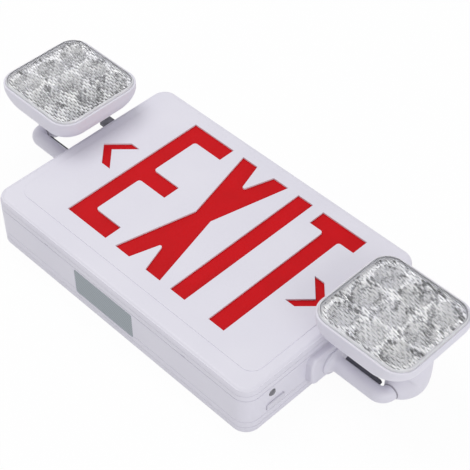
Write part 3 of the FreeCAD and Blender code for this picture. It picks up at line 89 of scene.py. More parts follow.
class Slot(Enum):
    """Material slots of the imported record."""

    WHITE_PLASTIC = "white_plastic"
    RED_PANEL = "red_panel"
    TRAY_PLASTIC = "tray_plastic"
    CIRCUIT_BOARD = "circuit_board"
    CORE_STEEL = "core_steel"
    BATTERY_SLEEVE = "battery_sleeve"
    BRIGHT_STEEL = "bright_steel"
    DARK_PLASTIC = "dark_plastic"
    DARK_RUBBER = "dark_rubber"
    BUTTON_PLASTIC = "button_plastic"
    SMOKE_LENS = "smoke_lens"
    CLEAR_LENS = "clear_lens"
    MIRROR_COAT = "mirror_coat"


# ---------------------------------------------------------------- nodes and colours
def linear(hex_colour: str) -> Colour:
    """Turn an sRGB hex colour into linear RGBA.

    Args:
        hex_colour: Six hex digits with a leading #.

    Returns:
        Red, green, blue and alpha for a node socket.
    """
    channels = []
    for start in (1, 3, 5):
        value = int(hex_colour[start:start + 2], 16) / 255.0
        channels.append(value / 12.92 if value <= 0.04045 else ((value + 0.055) / 1.055) ** 2.4)
    return (channels[0], channels[1], channels[2], 1.0)


def add_node(tree: bpy.types.NodeTree, kind: str, links: Optional[dict[Any, Any]] = None,
             **settings: Any) -> bpy.types.Node:
    """Add a node with its settings, then fill or link its inputs.

    Args:
        tree: Tree that gets the node.
        kind: Node type name.
        links: Input name or index to a value, or to an output socket to link from.
        settings: Node properties by name.

    Returns:
        The new node.
    """
    node = tree.nodes.new(kind)
    for name, value in settings.items():
        setattr(node, name, value)
    for key, value in (links or {}).items():
        if isinstance(value, bpy.types.NodeSocket):
            tree.links.new(value, node.inputs[key])
        else:
            node.inputs[key].default_value = value
    return node


def set_stops(ramp: bpy.types.Node, stops: Sequence[tuple[float, str]]) -> None:
    """Give a colour ramp its stops.

    Args:
        ramp: Color Ramp node.
        stops: Position and hex colour of each stop, in rising order.
    """
    elements = ramp.color_ramp.elements
    while len(elements) < len(stops):
        elements.new(0.5)
    for element, (position, colour) in zip(elements, stops):
        element.position = position
        element.color = linear(colour)


@dataclass(frozen=True)
class Finish:
    """Base of every finish: its name, two close tones and the surface values they share."""

    name: str
    tone: str
    second_tone: str
    roughness: float
    grain: float                # mm, size of the surface's grain
    drift: float                # mm, size of the slow change between the tones
    relief: float = 0.02        # mm, depth of the grain
    ior: float = 1.53
    metallic: float = 0.0

    def start(self) -> tuple[bpy.types.Material, bpy.types.NodeTree, bpy.types.Node,
                             bpy.types.NodeSocket]:
        """Make the material with its shader and Object coordinates.

        Returns:
            Material, tree, Principled shader and the coordinate socket in metres.
        """
        material = bpy.data.materials.new(self.name)
        material.use_nodes = True
        tree = material.node_tree
        tree.nodes.clear()
        shader = add_node(tree, "ShaderNodeBsdfPrincipled",
                          {"IOR": self.ior, "Metallic": self.metallic})
        add_node(tree, "ShaderNodeOutputMaterial", {"Surface": shader.outputs["BSDF"]})
        place = add_node(tree, "ShaderNodeTexCoord").outputs["Object"]
        return material, tree, shader, place

    def tint(self, tree: bpy.types.NodeTree, shader: bpy.types.Node,
             place: bpy.types.NodeSocket) -> None:
        """Let the base colour drift between the two tones.

        Args:
            tree: Material tree.
            shader: Its Principled shader.
            place: Object coordinates.
        """
        slow = add_node(tree, "ShaderNodeTexNoise",
                        {"Vector": place, "Scale": 1.0 / (self.drift * MM), "Detail": 2.0})
        ramp = add_node(tree, "ShaderNodeValToRGB", {"Fac": slow.outputs["Fac"]})
        set_stops(ramp, [(0.3, self.tone), (0.7, self.second_tone)])
        tree.links.new(ramp.outputs["Color"], shader.inputs["Base Color"])

    def roughen(self, tree: bpy.types.NodeTree, shader: bpy.types.Node,
                place: bpy.types.NodeSocket, spread: float = 0.06,
                height: Optional[bpy.types.NodeSocket] = None, strength: float = 0.6,
                depth: Optional[float] = None) -> None:
        """Let the roughness follow the grain, and press the relief.

        Args:
            tree: Material tree.
            shader: Its Principled shader.
            place: Object coordinates.
            spread: How much the roughness varies either way.
            height: Relief pressed in place of the grain.
            strength: How far the relief turns the light.
            depth: Depth of the relief in millimetres, if it isn't the grain's.
        """
        fine = add_node(tree, "ShaderNodeTexNoise",
                        {"Vector": place, "Scale": 1.0 / (self.grain * MM), "Detail": 3.0})
        rough = add_node(tree, "ShaderNodeMapRange",
                         {"Value": fine.outputs["Fac"], "To Min": self.roughness - spread,
                          "To Max": self.roughness + spread})
        tree.links.new(rough.outputs["Result"], shader.inputs["Roughness"])
        bump = add_node(tree, "ShaderNodeBump",
                        {"Height": fine.outputs["Fac"] if height is None else height,
                         "Strength": strength,
                         "Distance": (self.relief if depth is None else depth) * MM})
        tree.links.new(bump.outputs["Normal"], shader.inputs["Normal"])

    def build(self) -> bpy.types.Material:
        """A plain moulded surface with grain and drift."""
        material, tree, shader, place = self.start()
        self.tint(tree, shader, place)
        self.roughen(tree, shader, place)
        return material


@dataclass(frozen=True)
class TranslucentSheet(Finish):
    """Cast acrylic sheet: deep colour, a soft gloss and a little light inside."""

    ior: float = 1.49
    scatter: float = 0.15
    scatter_depth: float = 1.0                                      # mm
    scatter_colours: tuple[float, float, float] = (1.0, 0.15, 0.1)  # red light goes deepest
    gloss: float = 0.5          # share of the usual reflection; a matt back-lit sheet has less

    def build(self) -> bpy.types.Material:
        """Acrylic with light scattered just under its surface."""
        material, tree, shader, place = self.start()
        shader.inputs["Specular IOR Level"].default_value = self.gloss
        shader.inputs["Subsurface Weight"].default_value = self.scatter
        shader.inputs["Subsurface Radius"].default_value = self.scatter_colours
        shader.inputs["Subsurface Scale"].default_value = self.scatter_depth * MM
        self.tint(tree, shader, place)
        self.roughen(tree, shader, place, 0.03)
        return material


@dataclass(frozen=True)
class PlatedSteel(Finish):
    """Zinc-plated steel: bright, with fine drawing lines along X."""

    ior: float = 1.5
    metallic: float = 1.0
    squeeze: float = 0.06       # share of the grain's frequency that is left along X

    def build(self) -> bpy.types.Material:
        """Metal with stretched grain."""
        material, tree, shader, place = self.start()
        drawn = add_node(tree, "ShaderNodeMapping",
                         {"Vector": place, "Scale": (self.squeeze, 1.0, 1.0)})
        self.tint(tree, shader, drawn.outputs["Vector"])
        self.roughen(tree, shader, drawn.outputs["Vector"], 0.08)
        return material


@dataclass(frozen=True)
class Laminations(Finish):
    """Varnished core sheets stacked along Y: dark metal with a line at every sheet."""

    ior: float = 1.5
    metallic: float = 0.8
    sheet: float = 1.38         # mm, from one line to the next

    def build(self) -> bpy.types.Material:
        """Metal banded by its sheets."""
        material, tree, shader, place = self.start()
        self.roughen(tree, shader, place)
        bands = add_node(tree, "ShaderNodeTexWave",
                         {"Vector": place, "Scale": WAVE_BAND / (self.sheet * MM)},
                         wave_type="BANDS", bands_direction="Y")
        ramp = add_node(tree, "ShaderNodeValToRGB", {"Fac": bands.outputs["Fac"]})
        set_stops(ramp, [(0.15, self.second_tone), (0.5, self.tone)])
        tree.links.new(ramp.outputs["Color"], shader.inputs["Base Color"])
        return material


@dataclass(frozen=True)
class BoardLaminate(Finish):
    """Glass-fibre board under solder mask, with the weave just showing."""

    ior: float = 1.55
    weave: float = 0.99         # mm, from one yarn to the next

    def build(self) -> bpy.types.Material:
        """Solder mask over a square weave."""
        material, tree, shader, place = self.start()
        heights = []
        for direction in ("X", "Y"):
            wave = add_node(tree, "ShaderNodeTexWave",
                            {"Vector": place, "Scale": WAVE_BAND / (self.weave * MM)},
                            wave_type="BANDS", bands_direction=direction)
            heights.append(wave.outputs["Fac"])
        crossed = add_node(tree, "ShaderNodeMath", {0: heights[0], 1: heights[1]},
                           operation="MULTIPLY")
        self.tint(tree, shader, place)
        self.roughen(tree, shader, place, height=crossed.outputs["Value"], strength=0.5)
        return material


@dataclass(frozen=True)
class ClearMoulding(Finish):
    """Injection-moulded polycarbonate, with slight flow waves."""

    ior: float = 1.58
    clearness: float = 1.0

    def build(self) -> bpy.types.Material:
        """Clear plastic with waves in its relief."""
        material, tree, shader, place = self.start()
        shader.inputs["Transmission Weight"].default_value = self.clearness
        self.tint(tree, shader, place)
        self.roughen(tree, shader, place, 0.02)
        return material


@dataclass(frozen=True)
class MetallisedCoat(Finish):
    """Aluminium coat on moulded facets: bright silver broken by dark streaks along the facets; both
    tones are painted reflections of light and dark surroundings.
    """

    ior: float = 1.5
    metallic: float = 0.3       # thin coat: the milky moulding shows through
    streak_length: float = 7.5  # mm
    streak_width: float = 1.5   # mm
    streak_turn: float = 14.0   # degrees the streaks lean from X towards -Y
    streak_squeeze: float = 0.4     # share of the streaks' frequency left down the cups
    streak_depth: float = 0.6   # mm
    cluster_size: float = 11.0  # mm, the streaks come in clusters
    cluster_share: float = 0.5
    # painted reflection: the near-black tone of the streaks stands for dark surroundings mirrored in
    # the facets
    painted_reflection_tone: str = "#26262B"
    dark_until: float = 0.61
    grey_at: float = 0.68
    bright_from: float = 0.74

    def build(self) -> bpy.types.Material:
        """Thin metal with facet streaks in relief, and painted reflections in colour."""
        material, tree, shader, place = self.start()
        turned = add_node(tree, "ShaderNodeVectorRotate",
                          {"Vector": place, "Angle": math.radians(self.streak_turn)},
                          rotation_type="Z_AXIS")
        facets = add_node(tree, "ShaderNodeMapping",
                          {"Vector": turned.outputs["Vector"],
                           "Scale": (self.streak_width / self.streak_length, 1.0,
                                     self.streak_squeeze)})
        streak = add_node(tree, "ShaderNodeTexNoise",
                          {"Vector": facets.outputs["Vector"],
                           "Scale": 1.0 / (self.streak_width * MM), "Detail": 2.0})
        cluster = add_node(tree, "ShaderNodeTexNoise",
                           {"Vector": place, "Scale": 1.0 / (self.cluster_size * MM),
                            "Detail": 1.0})
        mixed = add_node(tree, "ShaderNodeMath",
                         {0: cluster.outputs["Fac"], 1: self.cluster_share,
                          2: streak.outputs["Fac"]}, operation="MULTIPLY_ADD")
        # the ramp paints reflections into the base colour: dark streaks, then grey, then bright
        # silver
        ramp = add_node(tree, "ShaderNodeValToRGB", {"Fac": mixed.outputs["Value"]})
        set_stops(ramp, [(self.dark_until, self.painted_reflection_tone), (self.grey_at, self.second_tone),
                         (self.bright_from, self.tone)])
        tree.links.new(ramp.outputs["Color"], shader.inputs["Base Color"])
        self.roughen(tree, shader, place, 0.05, streak.outputs["Fac"], 1.0, self.streak_depth)
        return material


@dataclass(frozen=True)
class SatinFoil(Finish):
    """Blank satin foil sticker: brushed silver with faint ruled rows."""

    ior: float = 1.5
    metallic: float = 0.35
    row_pitch: float = 2.37     # mm

    def build(self) -> bpy.types.Material:
        """Foil with rows that lie along X."""
        material, tree, shader, place = self.start()
        self.roughen(tree, shader, place)
        rows = add_node(tree, "ShaderNodeTexWave",
                        {"Vector": place, "Scale": WAVE_BAND / (self.row_pitch * MM)},
                        wave_type="BANDS", bands_direction="Z")
        ramp = add_node(tree, "ShaderNodeValToRGB", {"Fac": rows.outputs["Fac"]})
        set_stops(ramp, [(0.3, self.second_tone), (0.7, self.tone)])
        tree.links.new(ramp.outputs["Color"], shader.inputs["Base Color"])
        return material


@dataclass
class FinishRack:
    """Every finish of the light, by the record's slot."""

    finishes: dict[Slot, Finish] = field(default_factory=lambda: {
        # ABS housing, spark-eroded mould: even satin white with a cool cast
        Slot.WHITE_PLASTIC: Finish("satin_abs_cool_white", "#DFDDE7", "#DBD9E4", 0.42, 0.6, 60.0),
        # cast acrylic letter panel: saturated red, smooth
        Slot.RED_PANEL: TranslucentSheet("cast_acrylic_red", "#CB0A16", "#C20913", 0.5, 1.5, 30.0,
                                         0.01, gloss=0.1),
        # vacuum-formed tray: bright white, glossier than the housing
        Slot.TRAY_PLASTIC: Finish("formed_styrene_white", "#F0F0EE", "#EAEAE6", 0.3, 1.0, 40.0),
        # FR-4 board: green solder mask
        Slot.CIRCUIT_BOARD: BoardLaminate("fr4_solder_mask", "#2F6B3A", "#28592F", 0.35, 0.5, 12.0),
        # varnished transformer core
        Slot.CORE_STEEL: Laminations("varnished_core_sheets", "#6E6A66", "#3B3835", 0.45, 0.4, 9.0),
        # heat-shrunk PVC over the cells: glossy with soft folds
        Slot.BATTERY_SLEEVE: Finish("shrunk_pvc_blue", "#3F6FB5", "#365F9C", 0.25, 2.5, 15.0, 0.1),
        # zinc-plated fasteners and clips
        Slot.BRIGHT_STEEL: PlatedSteel("zinc_plated_steel", "#C9CACC", "#B4B5B8", 0.3, 0.25, 4.0,
                                       0.01),
        # nylon lead covers: dark grey, dull; the dark grey is partly painted shade, for the shade in
        # the gap between arm and lamp head
        Slot.DARK_PLASTIC: Finish("lead_cover_grey_painted_shade", "#4A4953", "#3F3E48", 0.6, 0.5, 8.0),
        # rubber swivel rings: near black, matt
        Slot.DARK_RUBBER: Finish("moulded_rubber_black", "#38373C", "#2E2D32", 0.7, 0.4, 6.0),
        # ABS key cap: a little greyer than the housing
        Slot.BUTTON_PLASTIC: Finish("satin_abs_grey_white", "#D6D4DE", "#CFCDD8", 0.36, 0.5, 10.0),
        # smoke-tinted lens over the status lamp
        Slot.SMOKE_LENS: ClearMoulding("smoke_polycarbonate", "#8B8A92", "#7C7A83", 0.12, 1.0, 4.0,
                                       0.01, clearness=0.35),
        # clear polycarbonate lamp lens
        Slot.CLEAR_LENS: ClearMoulding("clear_polycarbonate", "#FFFFFF", "#FAFAFD", 0.05, 1.6, 20.0,
                                       0.05),
        # vacuum-metallised lamp reflector, with painted reflections in its colour
        Slot.MIRROR_COAT: MetallisedCoat("metallised_facets_painted_reflections", "#FFFFFF", "#C9C9D0", 0.3,
                                         0.8, 10.0),
    })
    # the same polycarbonate where the mould is grained, round the lens's border
    frosted: ClearMoulding = ClearMoulding("grained_polycarbonate_border", "#F2F2F6", "#ECECF1", 0.5,
                                           0.9, 12.0, 0.05, clearness=0.35)
    foil: SatinFoil = SatinFoil("blank_satin_foil", "#A7AFB5", "#7A838A", 0.42, 0.5, 12.0, 0.01)
    # pieces whose finish differs from the rest of their slot, by the start of the node's name
    exceptions: dict[str, Finish] = field(default_factory=lambda: {
        # nylon side tabs: mid grey with a soft mottle; the grey is partly painted shade, for the
        # deep shade under the lamp heads
        "side_tab": Finish("side_tab_grey_painted_shade", "#77767E", "#5C5B63", 0.55, 0.6, 5.0),
        # rubber ring deep in the swivel's groove: mid grey, matt
        "swivel_ring": Finish("moulded_rubber_grey", "#A6A4AE", "#9B99A3", 0.7, 0.4, 6.0),
        # lamp board: white solder mask
        "lamp_led_board": BoardLaminate("white_solder_mask", "#E9E9EC", "#DEDEE2", 0.35, 0.5, 12.0),
    })
    made: dict[str, bpy.types.Material] = field(default_factory=dict)

    def material(self, finish: Finish) -> bpy.types.Material:
        """The material of a finish, made once.

        Args:
            finish: The finish that is wanted.

        Returns:
            Its material, new or already made.
        """
        if finish.name not in self.made:
            self.made[finish.name] = finish.build()
        return self.made[finish.name]

    def of_slot(self, slot: Slot) -> bpy.types.Material:
        """The material of one of the record's slots.

        Args:
            slot: The slot that is wanted.

        Returns:
            Its material, new or already made.
        """
        return self.material(self.finishes[slot])

    def dress_nodes(self) -> None:
        """Put the right finish on each slot of every CAD node."""
        for name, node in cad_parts.items():
            special = [finish for start, finish in self.exceptions.items()
                       if name.startswith(start)]
            for place in node.material_slots:
                slot = Slot(place.material.name.split(".")[0])
                place.material = self.material(special[0]) if special else self.of_slot(slot)
            LOG.info("dressed node %s", name)


# ---------------------------------------------------------------- mesh helpers
def new_object(name: str, mesh: bpy.types.Mesh) -> bpy.types.Object:
    """Link a mesh into the scene as an object at the origin.

    Args:
        name: Name of the object.
        mesh: Its mesh.

    Returns:
        The new object.
    """
    made = bpy.data.objects.new(name, mesh)
    bpy.context.scene.collection.objects.link(made)
    return made


def mesh_from(name: str, body: bmesh.types.BMesh) -> bpy.types.Mesh:
    """Turn a bmesh into a named mesh and free it.

    Args:
        name: Name of the mesh.
        body: The bmesh, which can't be used afterwards.

    Returns:
        The new mesh.
    """
    mesh = bpy.data.meshes.new(name)
    body.to_mesh(mesh)
    body.free()
    return mesh


def soften(mesh: bpy.types.Mesh, angle: float) -> None:
    """Shade a mesh smooth, except over its creases.

    Args:
        mesh: The mesh to shade.
        angle: Edges sharper than this many degrees stay creases.
    """
    mesh.polygons.foreach_set("use_smooth", [True] * len(mesh.polygons))
    mesh.set_sharp_from_angle(angle=math.radians(angle))
    mesh.update()


def evaluated(holder: bpy.types.Object, name: str) -> bpy.types.Mesh:
    """Mesh of an object with its modifiers applied; the object is removed.

    Args:
        holder: Object with live modifiers.
        name: Name of the new mesh.

    Returns:
        The plain mesh.
    """
    bpy.context.view_layer.update()
    seen = holder.evaluated_get(bpy.context.evaluated_depsgraph_get())
    mesh = bpy.data.meshes.new_from_object(seen)
    mesh.name = name
    bpy.data.objects.remove(holder)
    return mesh


def rounded_corner(before: Point2, corner: Point2, after: Point2, radius: float,
                   steps: int = 6) -> list[Point2]:
    """Points of an arc that rounds one corner of a polygon.

    Args:
        before: Previous corner.
        corner: Corner to round.
        after: Next corner.
        radius: Radius in millimetres; zero leaves the corner sharp.
        steps: Number of arc segments.

    Returns:
        The points that stand for the corner.
    """
    if radius <= 0.0:
        return [corner]
    here = Vector(corner)
    back = (Vector(before) - here).normalized()
    on = (Vector(after) - here).normalized()
    half = back.angle(on) / 2.0
    reach = radius / math.tan(half)
    centre = here + (back + on).normalized() * radius / math.sin(half)
    start, end = here + back * reach, here + on * reach
    first, last = start - centre, end - centre
    swing = first.angle_signed(last)
    points = []
    for step in range(steps + 1):
        turn = Matrix.Rotation(-swing * step / steps, 2)
        points.append(tuple(centre + turn @ first))
    return points


def rounded_rectangle(length: float, height: float, radius: float, centre: Point2,
                      steps: int = 8) -> list[Point2]:
    """Outline of a rectangle with round corners, in millimetres.

    Args:
        length: Size along the first axis.
        height: Size along the second axis.
        radius: Radius of the corners.
        centre: Middle of the rectangle.
        steps: Number of arc segments in each corner.

    Returns:
        Its points, anticlockwise.
    """
    a, b = length / 2.0, height / 2.0
    x, y = centre
    corners = [(x + a, y + b), (x - a, y + b), (x - a, y - b), (x + a, y - b)]
    outline: list[Point2] = []
    for index, corner in enumerate(corners):
        outline += rounded_corner(corners[index - 1], corner, corners[(index + 1) % 4], radius,
                                  steps)
    return outline


def prism(body: bmesh.types.BMesh, outline: Iterable[Point2], low: float, high: float) -> None:
    """Add a closed upright prism to a bmesh.

    Args:
        body: Target bmesh, in metres.
        outline: Corners in millimetres.
        low: Bottom height in millimetres.
        high: Top height in millimetres.
    """
    points = list(outline)
    bottom = [body.verts.new((x * MM, y * MM, low * MM)) for x, y in points]
    top = [body.verts.new((x * MM, y * MM, high * MM)) for x, y in points]
    body.faces.new(top)
    body.faces.new(list(reversed(bottom)))
    for index in range(len(points)):
        after = (index + 1) % len(points)
        body.faces.new((bottom[index], bottom[after], top[after], top[index]))


# ---------------------------------------------------------------- sign cover
@dataclass
class SignCover:
    """Front cover with the word cut through its face, over the red panel."""

    rack: FinishRack
    node: str = "front_cover"
    low: float = -67.5          # foot and head of the letters
    high: float = 84.9
    stroke: float = 17.4
    inner_radius: float = 2.8
    notch_radius: float = 1.6
    e_left: float = -96.0
    e_right: float = -46.5
    e_bar: float = 0.1          # foot of the middle bar
    x_left: tuple[float, float] = (-34.3, -16.5)    # both edges of the strokes' ends
    x_right: tuple[float, float] = (3.6, 21.3)
    x_low_notch: Point2 = (-6.6, -36.5)
    x_high_notch: Point2 = (-6.7, 53.5)
    x_left_waist: Point2 = (-15.6, 8.6)
    x_right_waist: Point2 = (2.4, 8.8)
    i_edges: tuple[float, float] = (33.5, 50.9)
    t_stem: tuple[float, float] = (78.7, 96.3)
    t_bar: tuple[float, float] = (62.9, 113.0)
    cut_below: float = 4.0      # reach of the cutter below and above the face
    cut_above: float = 2.0
    weld: float = 0.002         # points nearer than this are one
    flat_angle: float = 0.5     # degrees up to which neighbouring faces count as flat
    crease: float = 35.0        # degrees above which an edge stays sharp

    def letter_e(self) -> list[tuple[Point2, float]]:
        """Corners and radii of the first letter."""
        left, right, low, high = self.e_left, self.e_right, self.low, self.high
        stem = left + self.stroke
        r = self.inner_radius
        return [((left, low), 0), ((right, low), 0), ((right, low + self.stroke), 0),
                ((stem, low + self.stroke), r), ((stem, self.e_bar), r), ((right, self.e_bar), 0),
                ((right, self.e_bar + self.stroke), 0), ((stem, self.e_bar + self.stroke), r),
                ((stem, high - self.stroke), r), ((right, high - self.stroke), 0),
                ((right, high), 0), ((left, high), 0)]

    def letter_x(self) -> list[tuple[Point2, float]]:
        """Corners and radii of the second letter."""
        (left, left_inner), (right_inner, right) = self.x_left, self.x_right
        r = self.notch_radius
        return [((left, self.low), 0), ((left_inner, self.low), 0), (self.x_low_notch, r),
                ((right_inner, self.low), 0), ((right, self.low), 0), (self.x_right_waist, 0),
                ((right, self.high), 0), ((right_inner, self.high), 0), (self.x_high_notch, r),
                ((left_inner, self.high), 0), ((left, self.high), 0), (self.x_left_waist, 0)]

    def letter_i(self) -> list[tuple[Point2, float]]:
        """Corners and radii of the third letter."""
        left, right = self.i_edges
        return [((left, self.low), 0), ((right, self.low), 0), ((right, self.high), 0),
                ((left, self.high), 0)]

    def letter_t(self) -> list[tuple[Point2, float]]:
        """Corners and radii of the fourth letter."""
        (left, right), (bar_left, bar_right) = self.t_stem, self.t_bar
        bar = self.high - self.stroke
        r = self.inner_radius
        return [((left, self.low), 0), ((right, self.low), 0), ((right, bar), r),
                ((bar_right, bar), 0), ((bar_right, self.high), 0), ((bar_left, self.high), 0),
                ((bar_left, bar), 0), ((left, bar), r)]

    def cutter(self) -> bpy.types.Object:
        """The word as closed prisms through the face."""
        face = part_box(self.node)[1].z / MM
        body = bmesh.new()
        for corners in (self.letter_e(), self.letter_x(), self.letter_i(), self.letter_t()):
            outline: list[Point2] = []
            for index, (corner, radius) in enumerate(corners):
                before = corners[index - 1][0]
                after = corners[(index + 1) % len(corners)][0]
                outline += rounded_corner(before, corner, after, radius)
            prism(body, outline, face - self.cut_below, face + self.cut_above)
        bmesh.ops.recalc_face_normals(body, faces=body.faces)
        return new_object("word_cutter", mesh_from("word_cutter", body))

    def build(self) -> bpy.types.Object:
        """Cut the word out of a merged copy of the cover.

        Returns:
            The finished piece, riding on the sign.
        """
        body = bmesh.new()
        body.from_mesh(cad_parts[self.node].data)
        bmesh.ops.remove_doubles(body, verts=body.verts, dist=self.weld * MM)
        bmesh.ops.dissolve_limit(body, angle_limit=math.radians(self.flat_angle), verts=body.verts,
                                 edges=body.edges)
        holder = new_object("cover_blank", mesh_from("cover_blank", body))
        cutter = self.cutter()
        cut = holder.modifiers.new("word", "BOOLEAN")
        cut.operation, cut.solver, cut.object = "DIFFERENCE", "EXACT", cutter
        weigh = holder.modifiers.new("weigh", "WEIGHTED_NORMAL")
        weigh.keep_sharp = True
        soften(holder.data, self.crease)
        mesh = evaluated(holder, "sign_cover")
        bpy.data.objects.remove(cutter)
        mesh.materials.clear()
        mesh.materials.append(self.rack.of_slot(Slot.WHITE_PLASTIC))
        piece = new_object("sign_cover", mesh)
        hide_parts(self.node)
        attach(piece, "sign")
        return piece


# ---------------------------------------------------------------- blank foil plate
@dataclass
class FoilPlate:
    """Blank foil sticker on the lower side wall."""

    rack: FinishRack
    low_x: float = -49.0
    high_x: float = 23.0
    low_z: float = 9.5
    high_z: float = 37.5
    bed_depth: float = 0.25     # the bed moulded into the wall
    radius: float = 1.5
    thickness: float = 0.12

    def build(self) -> bpy.types.Object:
        """A thin rounded plate that lies in the bed moulded into the wall."""
        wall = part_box("housing_frame")[0].y / MM
        centre = ((self.low_x + self.high_x) / 2.0, (self.low_z + self.high_z) / 2.0)
        outline = rounded_rectangle(self.high_x - self.low_x, self.high_z - self.low_z,
                                    self.radius, centre)
        body = bmesh.new()
        prism(body, outline, -self.bed_depth, self.thickness - self.bed_depth)
        # stand it up on the wall, facing -Y
        upright = Matrix(((1, 0, 0, 0), (0, 0, -1, wall * MM), (0, 1, 0, 0), (0, 0, 0, 1)))
        body.transform(upright)
        bmesh.ops.recalc_face_normals(body, faces=body.faces)
        mesh = mesh_from("foil_plate", body)
        mesh.materials.append(self.rack.material(self.rack.foil))
        piece = new_object("foil_plate", mesh)
        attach(piece, "sign")
        return piece


# ---------------------------------------------------------------- lamp optics
@dataclass
class LensOptics:
    """Clear cap of one lamp head: smooth outside, rows of pillows on its underside."""

    rack: FinishRack
    side: Side
    corner_radius: float = 17.05
    thickness: float = 2.6
    wall: float = 2.2
    edge_radius: float = 1.4
    edge_steps: int = 4
    pillow_length: float = 8.0
    pillow_width: float = 2.3
    pillow_depth: float = 0.45
    pillow_turn: float = 14.0   # degrees the rows lean from X towards -Y
    unevenness: float = 7.0     # mm, size of the slow change in the pillows' depth
    rows: int = 300
    columns: int = 96
    crowding: float = 0.08      # how far the rows crowd together at the round ends
    border: float = 1.2         # plain strip along the walls
    rise: float = 0.8           # strip inside it over which the pillows reach full depth
    window_start: float = 0.2   # share of the border at which the clear finish starts
    window_level: float = 0.9   # value above which a face counts as window
    crease: float = 40.0        # degrees above which an edge stays sharp

    def tree(self) -> bpy.types.NodeTree:
        """Geometry Nodes that press the pillows into the underside.

        Returns:
            A tree with named inputs for the sizes.
        """
        tree = bpy.data.node_groups.new("lens_pillows_" + self.side.suffix, "GeometryNodeTree")
        face = tree.interface
        face.new_socket("Geometry", in_out="INPUT", socket_type="NodeSocketGeometry")
        for name in ("Pillow Length", "Pillow Width", "Pillow Depth", "Pillow Turn"):
            face.new_socket(name, in_out="INPUT", socket_type="NodeSocketFloat")
        face.new_socket("Centre", in_out="INPUT", socket_type="NodeSocketVector")
        for name in ("Border Material", "Window Material"):
            face.new_socket(name, in_out="INPUT", socket_type="NodeSocketMaterial")
        face.new_socket("Geometry", in_out="OUTPUT", socket_type="NodeSocketGeometry")
        given = add_node(tree, "NodeGroupInput")

        place = add_node(tree, "GeometryNodeInputPosition")
        local = add_node(tree, "ShaderNodeVectorMath",
                         {0: place.outputs["Position"], 1: given.outputs["Centre"]},
                         operation="SUBTRACT")
        turned = add_node(tree, "ShaderNodeVectorRotate",
                          {"Vector": local.outputs["Vector"],
                           "Angle": given.outputs["Pillow Turn"]}, rotation_type="Z_AXIS")
        parts = add_node(tree, "ShaderNodeSeparateXYZ", {"Vector": turned.outputs["Vector"]})
        across = add_node(tree, "ShaderNodeMath",
                          {0: parts.outputs["Y"], 1: given.outputs["Pillow Width"]},
                          operation="DIVIDE")
        straight = add_node(tree, "ShaderNodeMath",
                            {0: parts.outputs["X"], 1: given.outputs["Pillow Length"]},
                            operation="DIVIDE")
        # every other row is shifted by half a pillow
        row = add_node(tree, "ShaderNodeMath", {0: across.outputs["Value"]}, operation="FLOOR")
        odd = add_node(tree, "ShaderNodeMath", {0: row.outputs["Value"], 1: 2.0},
                       operation="FLOORED_MODULO")
        along = add_node(tree, "ShaderNodeMath",
                         {0: odd.outputs["Value"], 1: 0.5, 2: straight.outputs["Value"]},
                         operation="MULTIPLY_ADD")
        # in each direction a pillow is a parabola, 1 at its middle and 0 at its edges
        bulges = []
        for count in (along, across):
            inside = add_node(tree, "ShaderNodeMath", {0: count.outputs["Value"]},
                              operation="FRACT")
            centred = add_node(tree, "ShaderNodeMath",
                               {0: inside.outputs["Value"], 1: 2.0, 2: -1.0},
                               operation="MULTIPLY_ADD")
            squared = add_node(tree, "ShaderNodeMath",
                               {0: centred.outputs["Value"], 1: centred.outputs["Value"]},
                               operation="MULTIPLY")
            bulge = add_node(tree, "ShaderNodeMath", {0: 1.0, 1: squared.outputs["Value"]},
                             operation="SUBTRACT")
            bulges.append(bulge.outputs["Value"])
        noise = add_node(tree, "ShaderNodeTexNoise",
                         {"Vector": turned.outputs["Vector"],
                          "Scale": 1.0 / (self.unevenness * MM), "Detail": 1.0})
        uneven = add_node(tree, "ShaderNodeMath", {0: noise.outputs["Fac"], 1: 0.5},
                          operation="ADD")
        optic = add_node(tree, "GeometryNodeInputNamedAttribute", {"Name": "optic"},
                         data_type="FLOAT")
        down = bulges[0]
        for factor in (bulges[1], uneven.outputs["Value"], optic.outputs["Attribute"],
                       given.outputs["Pillow Depth"], -1.0):
            product = add_node(tree, "ShaderNodeMath", {0: down, 1: factor},
                               operation="MULTIPLY")
            down = product.outputs["Value"]
        offset = add_node(tree, "ShaderNodeCombineXYZ", {"Z": down})
        moved = add_node(tree, "GeometryNodeSetPosition",
                         {"Geometry": given.outputs["Geometry"],
                          "Offset": offset.outputs["Vector"]})
        real = add_node(tree, "GeometryNodeRealizeInstances",
                        {"Geometry": moved.outputs["Geometry"]})
        edged = add_node(tree, "GeometryNodeSetMaterial",
                         {"Geometry": real.outputs["Geometry"],
                          "Material": given.outputs["Border Material"]})
        window = add_node(tree, "GeometryNodeInputNamedAttribute", {"Name": "window"},
                          data_type="FLOAT")
        chosen = add_node(tree, "FunctionNodeCompare", {0: window.outputs["Attribute"],
                                                         1: self.window_level},
                          operation="GREATER_THAN")
        dressed = add_node(tree, "GeometryNodeSetMaterial",
                           {"Geometry": edged.outputs["Geometry"],
                            "Selection": chosen.outputs["Result"],
                            "Material": given.outputs["Window Material"]})
        add_node(tree, "NodeGroupOutput", {"Geometry": dressed.outputs["Geometry"]})
        return tree

    def spot(self, row: int, column: int, a: float, b: float, inset: float) -> Point2:
        """Where a grid point lies once the outline is drawn in by an inset.

        Args:
            row: Row of the grid, from the -Y end.
            column: Column of the grid, from the -X side.
            a: Half the cap's size along X, in millimetres.
            b: Half its size along Y.
            inset: How far the outline is drawn in.

        Returns:
            Its place from the cap's middle, in millimetres.
        """
        a, b, r = a - inset, b - inset, self.corner_radius - inset
        turn = math.pi * (row / self.rows - 0.5)
        # rows crowd a little at the round ends so that the corners stay round
        y = b * ((1.0 - self.crowding) * (2.0 * row / self.rows - 1.0)
                 + self.crowding * math.sin(turn))
        over = max(0.0, abs(y) - (b - r))
        half = a - r + math.sqrt(max(0.0, r * r - over * over))
        return half * (2.0 * column / self.columns - 1.0), y

